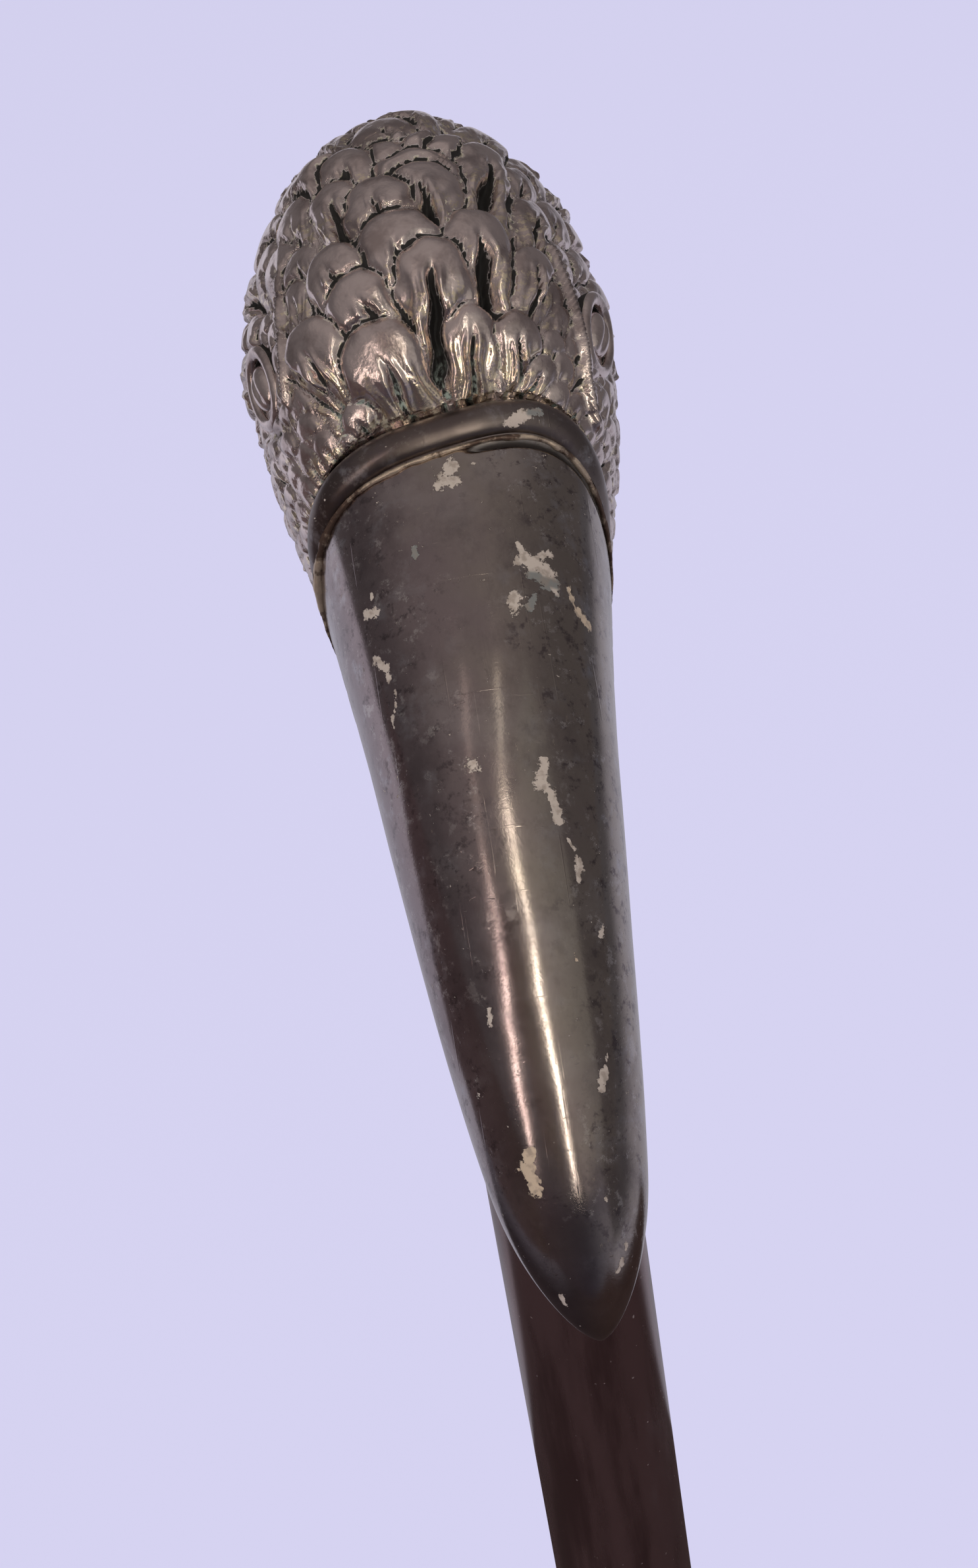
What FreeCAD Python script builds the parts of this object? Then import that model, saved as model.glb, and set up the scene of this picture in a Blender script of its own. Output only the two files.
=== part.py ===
import FreeCAD, Part
import math
import os
import Sketcher

# A walking stick whose handle is a bird's head with a long down-curved beak.
# Millimetres. The origin is the centre of the foot's flat base, +Z runs up the shaft,
# the beak points along -Y, and the left and right sides mirror each other across X = 0.
# Heights in the head are counted from eye level, and reach means how far forward of the shaft's axis.

DOCUMENT = FreeCAD.newDocument("WalkingStick")
SIZES = DOCUMENT.addObject("Spreadsheet::Sheet", "Sizes")

# Driving dimensions
DRIVING_SIZES = {
    # shaft
    "shaft_radius": 11.25,
    "tube_wall": 1.2,
    "tube_length": 830.0,
    # fits
    "joint_gap": 0.05,
    "edge_chamfer": 0.8,
    # rubber tip
    "tip_base_thickness": 8.0,
    "tip_cup_depth": 32.0,
    "tip_wall": 2.8,
    "tip_flange_radius": 18.0,
    "tip_flange_height": 7.0,
    "tip_groove_depth": 1.0,
    "tip_groove_height": 1.6,
    "washer_thickness": 1.5,
    # plug in the shaft's lower end
    "plug_length": 24.0,
    # screw joint between shaft and head
    "bush_length": 34.0,
    "stud_radius": 5.0,
    "stud_length": 50.0,
    "stud_in_shaft": 30.0,
    "collar_web": 4.0,
    "collar_skirt": 7.0,
    "collar_wall": 2.2,
    "collar_bead_radius": 1.6,
    "socket_radius": 10.6,
    "stud_end_gap": 2.0,
    "socket_roof": 3.0,
    # head
    "cast_wall": 2.4,
    "neck_drop": 46.0,
    "neck_radius": 14.2,
    "head_half_width": 22.6,
    "head_half_height": 28.0,
    "head_middle_drop": 3.0,
    "head_middle_reach": -5.0,
    "head_back_length": 32.0,
    "head_throat_half_width": 20.4,
    "head_throat_half_length": 24.0,
    "head_throat_reach": -6.0,
    "head_throat_drop": 7.0,
    # face, where the rim and the beak are fixed
    "face_reach": 24.0,
    "face_drop": 12.0,
    "face_half_width": 18.0,
    "face_half_height": 20.2,
    # eyes
    "eye_ring_radius": 3.6,
    "eye_wire_radius": 0.9,
    "eye_reach": 7.0,
    "eye_rise": 6.0,
    # rim
    "rim_wire_radius": 2.6,
    "rim_rise": 1.2,
    "rim_ahead": 1.6,
    # beak
    "beak_half_width": 17.1,
    "beak_half_height": 19.0,
    "beak_waist_half_width": 7.9,
    "beak_waist_half_height": 8.6,
    "beak_swell": 0.55,
    "beak_wall": 2.2,
    "beak_forward": 74.0,
    "beak_down": 52.0,
    "beak_start_slope": 12.0,
    "beak_end_slope": 52.0,
    "beak_tip_length": 12.5,
    "beak_spigot_length": 7.0,
    "beak_spigot_wall": 2.0,
}

for row, (alias, value) in enumerate(DRIVING_SIZES.items(), start=1):
    SIZES.set("A%d" % row, alias)
    SIZES.set("B%d" % row, str(value))
    SIZES.setAlias("B%d" % row, alias)
DOCUMENT.recompute()


def size(alias):
    """The value of a named cell of the sheet."""
    return float(getattr(SIZES, alias))


# Heights of the seats, from the floor up, as expressions on the sheet
TUBE_FOOT = "(Sizes.tip_base_thickness + Sizes.washer_thickness)"
TUBE_TOP = "(" + TUBE_FOOT + " + Sizes.tube_length)"
NECK_FOOT = "(" + TUBE_TOP + " + Sizes.collar_web)"
SOCKET_DEPTH = "(Sizes.stud_length - Sizes.stud_in_shaft - Sizes.collar_web + Sizes.stud_end_gap)"
TUBE_BORE = "(Sizes.shaft_radius - Sizes.tube_wall)"
STUD_BORE = "(Sizes.stud_radius + Sizes.joint_gap)"
TUBE_SEAT = "(Sizes.shaft_radius + Sizes.joint_gap)"
INSIDE_TUBE = "(" + TUBE_BORE + " - Sizes.joint_gap)"

tube_foot_height = size("tip_base_thickness") + size("washer_thickness")
neck_foot_height = tube_foot_height + size("tube_length") + size("collar_web")
eye_height = neck_foot_height + size("neck_drop")
socket_depth = size("stud_length") - size("stud_in_shaft") - size("collar_web") + size("stud_end_gap")


# Turned pieces: a closed profile of radii and heights, spun about the shaft's axis
def origin_plane(body, role):
    """The body's own origin plane or axis with this role."""
    return next(part for part in body.Origin.OriginFeatures if part.Role == role)


def turned_piece(label, seat_height, profile):
    """A lathe-turned piece; every corner of its profile is a pair of expressions, radius and height."""
    body = DOCUMENT.addObject("PartDesign::Body", label)
    body.Label = label
    sketch = body.newObject("Sketcher::SketchObject", label + "_profile")
    sketch.AttachmentSupport = [(origin_plane(body, "XZ_Plane"), "")]
    sketch.MapMode = "FlatFace"
    corners = [FreeCAD.Vector(evaluate(radius), evaluate(height), 0) for radius, height in profile]
    count = len(corners)
    for index, corner in enumerate(corners):
        sketch.addGeometry(Part.LineSegment(corner, corners[(index + 1) % count]))
    for index in range(count):
        sketch.addConstraint(Sketcher.Constraint("Coincident", index, 2, (index + 1) % count, 1))
    for index, (radius, height) in enumerate(profile):
        bind_corner(sketch, index, "DistanceX", radius, corners[index].x)
        bind_corner(sketch, index, "DistanceY", height, corners[index].y)
    spin = body.newObject("PartDesign::Revolution", label + "_spin")
    spin.Profile = sketch
    spin.ReferenceAxis = (sketch, ["V_Axis"])
    spin.Angle = 360.0
    body.Tip = spin
    body.setExpression("Placement.Base.z", seat_height)
    DOCUMENT.recompute()
    return body


def bind_corner(sketch, index, direction, expression, value):
    """Ties one coordinate of a profile's corner to the sheet."""
    on_axis = expression == "0"
    if on_axis and direction == "DistanceX":
        sketch.addConstraint(Sketcher.Constraint("PointOnObject", index, 1, -2))
        return
    if on_axis:
        sketch.addConstraint(Sketcher.Constraint("PointOnObject", index, 1, -1))
        return
    number = sketch.addConstraint(Sketcher.Constraint(direction, -1, 1, index, 1, value))
    sketch.setExpression("Constraints[%d]" % number, expression)


def evaluate(expression):
    """The number that an expression on the sheet gives."""
    return float(SIZES.evalExpression(expression.replace("Sizes.", "")))


# Foot
def make_rubber_tip():
    """The rubber cup that the shaft stands in, with a flange on the floor."""
    cup_radius = TUBE_SEAT + " + Sizes.tip_wall"
    cup_top = "Sizes.tip_base_thickness + Sizes.tip_cup_depth"
    groove_foot = "Sizes.tip_flange_height + Sizes.tip_wall + Sizes.tip_groove_height"
    return turned_piece("rubber_tip", "0", [
        ("0", "0"),
        ("Sizes.tip_flange_radius - Sizes.edge_chamfer", "0"),
        ("Sizes.tip_flange_radius", "Sizes.edge_chamfer"),
        ("Sizes.tip_flange_radius", "Sizes.tip_flange_height"),
        (cup_radius, "Sizes.tip_flange_height + Sizes.tip_wall"),
        (cup_radius, groove_foot),
        (cup_radius + " - Sizes.tip_groove_depth", groove_foot),
        (cup_radius + " - Sizes.tip_groove_depth", groove_foot + " + Sizes.tip_groove_height"),
        (cup_radius, groove_foot + " + Sizes.tip_groove_height"),
        (cup_radius, cup_top + " - Sizes.edge_chamfer"),
        (cup_radius + " - Sizes.edge_chamfer", cup_top),
        (TUBE_SEAT, cup_top),
        (TUBE_SEAT, "Sizes.tip_base_thickness"),
        ("0", "Sizes.tip_base_thickness"),
    ])


def make_tip_washer():
    """The steel disc in the cup that keeps the tube's end from cutting through the rubber."""
    return turned_piece("tip_washer", "Sizes.tip_base_thickness", [
        ("0", "0"),
        ("Sizes.shaft_radius", "0"),
        ("Sizes.shaft_radius", "Sizes.washer_thickness"),
        ("0", "Sizes.washer_thickness"),
    ])


# Shaft
def make_shaft_tube():
    """The plated tube, open at both ends."""
    return turned_piece("shaft_tube", TUBE_FOOT, [
        (TUBE_BORE, "0"),
        ("Sizes.shaft_radius", "0"),
        ("Sizes.shaft_radius", "Sizes.tube_length"),
        (TUBE_BORE, "Sizes.tube_length"),
    ])


def make_foot_plug():
    """The turned plug that closes and stiffens the tube's lower end."""
    return turned_piece("foot_plug", TUBE_FOOT, [
        ("0", "0"),
        (INSIDE_TUBE, "0"),
        (INSIDE_TUBE, "Sizes.plug_length - Sizes.edge_chamfer"),
        (INSIDE_TUBE + " - Sizes.edge_chamfer", "Sizes.plug_length"),
        ("0", "Sizes.plug_length"),
    ])


def make_shaft_bush():
    """The tapped bush in the tube's upper end, flush with the tube."""
    return turned_piece("shaft_bush", TUBE_TOP + " - Sizes.bush_length", [
        (STUD_BORE, "0"),
        (INSIDE_TUBE + " - Sizes.edge_chamfer", "0"),
        (INSIDE_TUBE, "Sizes.edge_chamfer"),
        (INSIDE_TUBE, "Sizes.bush_length"),
        (STUD_BORE, "Sizes.bush_length"),
    ])


# Screw joint
def make_joining_stud():
    """The stud that draws the head down on the shaft, half in the bush and half in the head's socket."""
    return turned_piece("joining_stud", TUBE_TOP + " - Sizes.stud_in_shaft", [
        ("0", "0"),
        ("Sizes.stud_radius - Sizes.edge_chamfer", "0"),
        ("Sizes.stud_radius", "Sizes.edge_chamfer"),
        ("Sizes.stud_radius", "Sizes.stud_length - Sizes.edge_chamfer"),
        ("Sizes.stud_radius - Sizes.edge_chamfer", "Sizes.stud_length"),
        ("0", "Sizes.stud_length"),
    ])


def make_neck_collar():
    """The turned collar between the shaft and the neck, with a skirt over the tube and a round bead above."""
    skirt_radius = TUBE_SEAT + " + Sizes.collar_wall"
    bead_radius = skirt_radius + " + Sizes.collar_bead_radius"
    return turned_piece("neck_collar", TUBE_TOP + " - Sizes.collar_skirt", [
        (TUBE_SEAT, "0"),
        (skirt_radius + " - Sizes.edge_chamfer", "0"),
        (skirt_radius, "Sizes.edge_chamfer"),
        (skirt_radius, "Sizes.collar_skirt - Sizes.collar_bead_radius"),
        (bead_radius, "Sizes.collar_skirt"),
        (bead_radius, "Sizes.collar_skirt + Sizes.collar_web - Sizes.collar_bead_radius"),
        (skirt_radius, "Sizes.collar_skirt + Sizes.collar_web"),
        (STUD_BORE, "Sizes.collar_skirt + Sizes.collar_web"),
        (STUD_BORE, "Sizes.collar_skirt"),
        (TUBE_SEAT, "Sizes.collar_skirt"),
    ])


def make_neck_socket():
    """The tapped socket fixed in the neck, closed at its top."""
    return turned_piece("neck_socket", NECK_FOOT, [
        (STUD_BORE, "0"),
        ("Sizes.socket_radius", "0"),
        ("Sizes.socket_radius", SOCKET_DEPTH + " + Sizes.socket_roof - Sizes.edge_chamfer"),
        ("Sizes.socket_radius - Sizes.edge_chamfer", SOCKET_DEPTH + " + Sizes.socket_roof"),
        ("0", SOCKET_DEPTH + " + Sizes.socket_roof"),
        ("0", SOCKET_DEPTH),
        (STUD_BORE, SOCKET_DEPTH),
    ])


# Cast pieces: smooth skins lofted through ellipses
def ellipse_wire(center, across, along, half_across, half_along):
    """An ellipse about a centre, whose half axes lie along two square directions."""
    long_first = half_along >= half_across
    major, minor = (half_along, half_across) if long_first else (half_across, half_along)
    major_way = along if long_first else across
    minor_way = across if long_first else along
    curve = Part.Ellipse(center + major_way * major, center + minor_way * minor, center)
    seam = curve.parameter(center + across * half_across)
    start = seam if seam < math.pi else seam - 2 * math.pi
    return Part.Wire(Part.Edge(curve, start, start + 2 * math.pi))


SIDEWAYS = FreeCAD.Vector(1, 0, 0)
FORWARD = FreeCAD.Vector(0, -1, 0)
UPWARD = FreeCAD.Vector(0, 0, 1)


def head_point(reach, rise):
    """A point of the symmetry plane, by its reach forward of the shaft and its rise above eye level."""
    return FORWARD * reach + UPWARD * (eye_height + rise)


def skull(inset):
    """The head's skin from the back of the head to the face, drawn in by an inset."""
    half_width = size("head_half_width") - inset
    half_height = size("head_half_height") - inset
    back_length = size("head_back_length") - inset
    front_length = size("face_reach") - size("head_middle_reach")
    sections = []
    for turn in (86, 78, 66, 52, 36, 18, 0):
        angle = math.radians(turn)
        center = head_point(size("head_middle_reach") - back_length * math.sin(angle), -size("head_middle_drop"))
        shrink = math.cos(angle)
        sections.append(ellipse_wire(center, SIDEWAYS, UPWARD, half_width * shrink, half_height * shrink))
    for step in (0.35, 0.6, 0.8, 0.92, 1.0):
        ease = step ** 3
        center = head_point(size("head_middle_reach") + front_length * step,
                            blend(-size("head_middle_drop"), -size("face_drop"), ease))
        across = blend(half_width, size("face_half_width") - inset, ease)
        upright = blend(half_height, size("face_half_height") - inset, ease)
        sections.append(ellipse_wire(center, SIDEWAYS, UPWARD, across, upright))
    return Part.makeLoft(sections, True)


def blend(first, last, share):
    """The value a share of the way from first to last."""
    return first + (last - first) * share


def neck(inset):
    """The neck's skin from the collar up into the head, drawn in by an inset."""
    sections = []
    for step in (0.0, 0.2, 0.4, 0.6, 0.8, 1.0):
        ease = (1 - math.cos(math.pi * step)) / 2
        center = head_point(blend(0.0, size("head_throat_reach"), ease),
                            blend(-size("neck_drop"), -size("head_throat_drop"), step))
        across = blend(size("neck_radius"), size("head_throat_half_width"), ease) - inset
        along = blend(size("neck_radius"), size("head_throat_half_length"), ease) - inset
        sections.append(ellipse_wire(center, SIDEWAYS, FORWARD, across, along))
    return Part.makeLoft(sections, True)


def face_plug(half_width, half_height, start_reach, length):
    """An upright ellipse through the face, drawn out forward."""
    center = head_point(start_reach, -size("face_drop"))
    wire = ellipse_wire(center, SIDEWAYS, UPWARD, half_width, half_height)
    return Part.Face(wire).extrude(FORWARD * length)


def eye_ring(side):
    """The raised ring of one eye, standing out of the side of the head."""
    half_width = size("head_half_width")
    back_length = size("head_back_length")
    half_height = size("head_half_height")
    reach = size("eye_reach") - size("head_middle_reach")
    rise = size("eye_rise") + size("head_middle_drop")
    depth = half_width * math.sqrt(1 - (reach / back_length) ** 2 - (rise / half_height) ** 2)
    outward = FreeCAD.Vector(side * depth / half_width ** 2, -reach / back_length ** 2, rise / half_height ** 2)
    center = head_point(size("eye_reach"), size("eye_rise")) + SIDEWAYS * side * depth
    return Part.makeTorus(size("eye_ring_radius"), size("eye_wire_radius"), center, outward)


def make_feathered_head():
    """The hollow casting of head and neck, open at the neck's foot and at the face."""
    wall = size("cast_wall")
    gap = size("joint_gap")
    outside = skull(0).fuse(neck(0))
    hollow = skull(wall).fuse(neck(wall))
    face = face_plug(3 * size("face_half_width"), 3 * size("face_half_height"),
                     size("face_reach") - wall, size("face_reach"))
    foot = Part.makeCylinder(3 * size("neck_radius"), socket_depth,
                             FreeCAD.Vector(0, 0, neck_foot_height - wall))
    hollow = hollow.cut(face).cut(foot)
    mouth = face_plug(spigot_half_width() + gap, spigot_half_height() + gap,
                      size("face_reach") - size("beak_spigot_length") - gap, size("face_reach"))
    socket_bore = Part.makeCylinder(size("socket_radius") + gap, socket_depth + size("socket_roof") + wall,
                                    FreeCAD.Vector(0, 0, neck_foot_height - wall))
    casting = outside.fuse(eye_ring(1)).fuse(eye_ring(-1))
    casting = casting.cut(hollow).cut(mouth).cut(socket_bore)
    return place_casting("feathered_head", casting)


# Beak
def spigot_half_width():
    """Half the width of the beak's spigot, which enters the face."""
    return size("face_half_width") - size("cast_wall")


def spigot_half_height():
    """Half the height of the beak's spigot, which enters the face."""
    return size("face_half_height") - size("cast_wall")


def beak_line(share):
    """A point of the beak's middle line, and the line's slope below level in radians."""
    start_slope = math.tan(math.radians(size("beak_start_slope")))
    end_slope = math.tan(math.radians(size("beak_end_slope")))
    forward = size("beak_forward")
    down = size("beak_down")
    bend = (forward * end_slope - down) / (end_slope - start_slope)
    rest = 1 - share
    reach = 2 * rest * share * bend + share ** 2 * forward
    drop = 2 * rest * share * bend * start_slope + share ** 2 * down
    reach_way = rest * bend + share * (forward - bend)
    drop_way = rest * bend * start_slope + share * (down - bend * start_slope)
    center = head_point(size("face_reach") + reach, -size("face_drop") - drop)
    return center, math.atan2(drop_way, reach_way)


def beak_skin(inset):
    """The beak's skin from the face to its blunt tip, drawn in by an inset."""
    length = math.hypot(size("beak_forward"), size("beak_down"))
    waist = 1 - size("beak_tip_length") / length
    tip_end = 1 - inset / length
    stations = [step * waist for step in (0.0, 0.17, 0.34, 0.5, 0.67, 0.84, 1.0)]
    stations += [blend(waist, tip_end, math.sin(math.radians(turn))) for turn in (25, 45, 62, 76, 86)]
    sections = []
    for share in stations:
        center, slope = beak_line(share)
        lean = slope * min(1.0, share / 0.34)
        along = UPWARD * math.cos(lean) + FORWARD * math.sin(lean)
        taper = min(share / waist, 1.0)
        rounding = math.sqrt(max(0.0, 1 - max(0.0, (share - waist) / (tip_end - waist)) ** 2))
        swell = size("beak_swell") * math.sin(math.pi * taper) - inset
        across = (blend(size("beak_half_width"), size("beak_waist_half_width"), taper) + swell) * rounding
        upright = (blend(size("beak_half_height"), size("beak_waist_half_height"), taper) + swell) * rounding
        sections.append(ellipse_wire(center, SIDEWAYS, along, across, upright))
    return Part.makeLoft(sections, True)


def make_beak():
    """The hollow beak with the spigot that enters the head's face."""
    wall = size("beak_wall")
    spigot_reach = size("face_reach") - size("beak_spigot_length")
    spigot = face_plug(spigot_half_width(), spigot_half_height(), spigot_reach,
                       size("beak_spigot_length") + wall)
    spigot_bore = face_plug(spigot_half_width() - size("beak_spigot_wall"),
                            spigot_half_height() - size("beak_spigot_wall"),
                            spigot_reach - wall, size("beak_spigot_length") + 3 * wall)
    beak = beak_skin(0).fuse(spigot).cut(beak_skin(wall)).cut(spigot_bore)
    return place_casting("beak", beak)


def make_beak_rim():
    """The half-round band round the beak's root, seated on the face."""
    wire_radius = size("rim_wire_radius")
    center = head_point(size("face_reach") + size("rim_ahead"), -size("face_drop"))
    half_width = size("beak_half_width") + size("rim_rise") - wire_radius
    half_height = size("beak_half_height") + size("rim_rise") - wire_radius
    path = ellipse_wire(center, SIDEWAYS, UPWARD, half_width, half_height)
    start = center + SIDEWAYS * half_width
    section = Part.Wire(Part.makeCircle(wire_radius, start, UPWARD))
    ring = path.makePipeShell([section], True, False)
    behind = face_plug(3 * half_width, 3 * half_height, 0, size("face_reach"))
    band = ring.cut(behind).cut(beak_skin(-size("joint_gap")))
    return place_casting("beak_rim", band)


def place_casting(label, shape):
    """A document object that holds one cast piece."""
    piece = DOCUMENT.addObject("Part::Feature", label)
    piece.Label = label
    piece.Shape = shape
    return piece


# Assembly
SUB_PARTS = [
    make_rubber_tip(),
    make_tip_washer(),
    make_shaft_tube(),
    make_foot_plug(),
    make_shaft_bush(),
    make_joining_stud(),
    make_neck_collar(),
    make_neck_socket(),
    make_feathered_head(),
    make_beak(),
    make_beak_rim(),
]
DOCUMENT.recompute()

for item in DOCUMENT.Objects:
    if "Invalid" in item.State or "Error" in item.State:
        raise RuntimeError("%s failed to recompute" % item.Name)

os.makedirs("parts", exist_ok=True)
for piece in SUB_PARTS:
    shape = piece.Shape
    if shape.isNull() or not shape.isValid() or not shape.Solids:
        raise RuntimeError("%s has no valid solid" % piece.Label)
    print("%-16s solids %d volume %.1f mm3" % (piece.Label, len(shape.Solids), shape.Volume))
    shape.exportStep("parts/%s.step" % piece.Label)
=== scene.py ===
"""Looks of a walking stick with a bird's-head handle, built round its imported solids.

The stick stands on its rubber foot with +Z up the shaft, and the beak points along -Y. Sizes are in metres.
Reach means how far forward of the shaft's axis, and rise how far above eye level.
"""
import logging
import math
from dataclasses import dataclass
from enum import Enum
from typing import Callable, Dict, List, Optional, Sequence, Tuple, Union

import bmesh
import bpy
import numpy as np
from mathutils import Matrix, Vector, noise
from mathutils.bvhtree import BVHTree

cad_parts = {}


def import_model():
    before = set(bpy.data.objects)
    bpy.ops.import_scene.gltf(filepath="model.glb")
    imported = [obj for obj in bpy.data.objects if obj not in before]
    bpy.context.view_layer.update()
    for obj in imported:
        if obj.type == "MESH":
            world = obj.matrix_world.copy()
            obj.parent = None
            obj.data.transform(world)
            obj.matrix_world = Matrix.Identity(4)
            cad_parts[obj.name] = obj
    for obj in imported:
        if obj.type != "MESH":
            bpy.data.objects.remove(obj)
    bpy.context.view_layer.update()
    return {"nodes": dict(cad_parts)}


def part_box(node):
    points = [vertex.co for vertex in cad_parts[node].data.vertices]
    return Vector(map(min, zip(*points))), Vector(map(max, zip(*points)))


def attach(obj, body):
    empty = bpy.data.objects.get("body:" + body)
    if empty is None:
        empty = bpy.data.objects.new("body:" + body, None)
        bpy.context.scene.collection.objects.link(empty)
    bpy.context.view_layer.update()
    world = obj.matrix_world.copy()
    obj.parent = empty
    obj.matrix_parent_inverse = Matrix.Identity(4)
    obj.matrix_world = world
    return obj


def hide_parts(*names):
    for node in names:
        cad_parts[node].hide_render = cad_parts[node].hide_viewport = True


LOG = logging.getLogger("walking_stick")
MM = 0.001
PHOTO_WIDTH = 1485
PHOTO_HEIGHT = 2380
SEED = 7
CROWN_ABOVE_EYE = 25.0 * MM
Colour = Tuple[float, float, float]
Pixel = Tuple[float, float]
Values = Union[float, np.ndarray]
LAVENDER = (0.658, 0.638, 0.863)


class Layer(Enum):
    """Names of the vertex attributes that carry a surface's story into its finish."""
    HOLLOW = "hollow"
    CLEFT = "cleft"
    BARB = "barb"
    BARB_PHASE = "barb_phase"
    RIM_NEAR = "rim_near"
    FLAKE = "flake"
    FLAKE_TINT = "flake_tint"
    SEAM_SHADE = "seam"


# Shader building

class Signal:
    """A shader socket whose arithmetic adds Math nodes to its tree."""

    def __init__(self, tree: "ShaderTree", socket: bpy.types.NodeSocket) -> None:
        """Wraps one output socket of a tree."""
        self.tree = tree
        self.socket = socket

    def math(self, operation: str, *others: object) -> "Signal":
        """Adds one Math node.

        Args:
            operation: the Math node's operation.
            others: the further values, signals or numbers.

        Returns:
            The result as a signal.
        """
        inputs = {index: value for index, value in enumerate((self,) + others)}
        return self.tree.node("ShaderNodeMath", {"operation": operation}, inputs)

    def __add__(self, other: object) -> "Signal":
        """Adds."""
        return self.math("ADD", other)

    __radd__ = __add__

    def __mul__(self, other: object) -> "Signal":
        """Multiplies."""
        return self.math("MULTIPLY", other)

    __rmul__ = __mul__

    def __sub__(self, other: object) -> "Signal":
        """Subtracts a value from this one."""
        return self.math("SUBTRACT", other)

    def __rsub__(self, other: object) -> "Signal":
        """Subtracts this one from a value."""
        return (self * -1.0) + other

    def least(self, other: object) -> "Signal":
        """The smaller of two values."""
        return self.math("MINIMUM", other)

    def most(self, other: object) -> "Signal":
        """The larger of two values."""
        return self.math("MAXIMUM", other)

    def sine(self) -> "Signal":
        """The sine."""
        return self.math("SINE")

    def step(self, low: float, high: float) -> "Signal":
        """Rises smoothly from 0 at low to 1 at high, or falls where high is the lower one."""
        settings = {"interpolation_type": "SMOOTHSTEP"}
        if low < high:
            return self.tree.node("ShaderNodeMapRange", settings,
                                  {"Value": self, "From Min": low, "From Max": high})
        return 1.0 - self.step(high, low)


class ShaderTree:
    """The node tree of a material or of the world, filled by calls instead of by hand."""

    def __init__(self, name: str, world: Optional[bpy.types.World] = None) -> None:
        """Starts an empty tree in a new material, or in a world where one is given."""
        self.material = world or bpy.data.materials.new(name)
        self.ending = "ShaderNodeOutputWorld" if world else "ShaderNodeOutputMaterial"
        self.material.use_nodes = True
        self.tree = self.material.node_tree
        self.tree.nodes.clear()

    def node(self, kind: str, settings: Optional[Dict[str, object]] = None,
             inputs: Optional[Dict[object, object]] = None, output: object = 0) -> Signal:
        """Adds a node.

        Args:
            kind: the node's type.
            settings: its own settings, set first.
            inputs: values, colours or signals by socket name or number.
            output: the name or number of the output that is returned.

        Returns:
            That output as a signal.
        """
        made = self.tree.nodes.new(kind)
        for name, value in (settings or {}).items():
            setattr(made, name, value)
        for name, value in (inputs or {}).items():
            socket = self._input(made, name)
            if isinstance(value, Signal):
                self.tree.links.new(value.socket, socket)
            elif isinstance(value, tuple) and socket.type == "RGBA":
                socket.default_value = value + (1.0,) * (4 - len(value))
            else:
                socket.default_value = value
        return Signal(self, self._output(made, output))

    @staticmethod
    def _output(made: bpy.types.Node, name: object) -> bpy.types.NodeSocket:
        """Finds the enabled output socket with this name or number."""
        if isinstance(name, int):
            return made.outputs[name]
        return next(socket for socket in made.outputs if socket.name == name and socket.enabled)

    @staticmethod
    def _input(made: bpy.types.Node, name: object) -> bpy.types.NodeSocket:
        """Finds the enabled input socket with this name or number."""
        if isinstance(name, int):
            return made.inputs[name]
        return next(socket for socket in made.inputs if socket.name == name and socket.enabled)

    def place(self) -> Signal:
        """The Object coordinates."""
        return self.node("ShaderNodeTexCoord", output="Object")

    def axis(self, letter: str, place: Optional[Signal] = None) -> Signal:
        """One coordinate by its letter: of a place or, without one, of the Object coordinates."""
        return self.node("ShaderNodeSeparateXYZ", {}, {0: place or self.place()}, output=letter)

    def rays(self, *kinds: str) -> List[Signal]:
        """Whether the present ray is of each of these kinds."""
        return [self.node("ShaderNodeLightPath", output="Is " + kind + " Ray") for kind in kinds]

    def glow(self, colour: object) -> Signal:
        """A shader that shines evenly with a colour."""
        return self.node("ShaderNodeEmission", {}, {"Color": colour, "Strength": 1.0})

    def blend(self, share: object, first: Signal, second: Signal) -> Signal:
        """Mixes two shaders."""
        return self.node("ShaderNodeMixShader", {}, {0: share, 1: first, 2: second})

    def attribute(self, layer: Layer) -> Signal:
        """A vertex attribute's value."""
        return self.node("ShaderNodeAttribute", {"attribute_name": layer.value}, output="Fac")

    def cloud(self, size: float, detail: float = 4.0, stretch: Vector = Vector((1, 1, 1)),
              roughness: float = 0.55, turn: Vector = Vector((0, 0, 0))) -> Signal:
        """Noise from 0 to 1 whose blotches have about this size in metres."""
        mapped = self.node("ShaderNodeMapping", {}, {"Vector": self.place(), "Scale": stretch,
                                                     "Rotation": turn})
        return self.node("ShaderNodeTexNoise", {},
                         {"Vector": mapped, "Scale": 1.0 / size, "Detail": detail, "Roughness": roughness})

    def mix(self, first: object, second: object, share: object) -> Signal:
        """Mixes two colours."""
        return self.node("ShaderNodeMix", {"data_type": "RGBA"},
                         {"Factor": share, "A": first, "B": second}, output="Result")

    def bump(self, level: Signal, depth: float, below: Optional[Signal] = None) -> Signal:
        """Turns a level from 0 to 1 into a bumped normal of this depth in metres."""
        inputs = {"Height": level, "Distance": depth, "Strength": 1.0}
        if below is not None:
            inputs["Normal"] = below
        return self.node("ShaderNodeBump", {}, inputs)

    def finish(self, **sockets: object) -> bpy.types.Material:
        """Ends the tree in a Principled shader whose sockets are given by name, with _ for a space."""
        inputs = {name.replace("_", " "): value for name, value in sockets.items()}
        return self.end(self.node("ShaderNodeBsdfPrincipled", {}, inputs))

    def end(self, shader: Signal) -> bpy.types.Material:
        """Joins a shader to the tree's surface and returns the material or world."""
        made = self.tree.nodes.new(self.ending)
        self.tree.links.new(shader.socket, made.inputs["Surface"])
        return self.material


# Finishes

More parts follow.
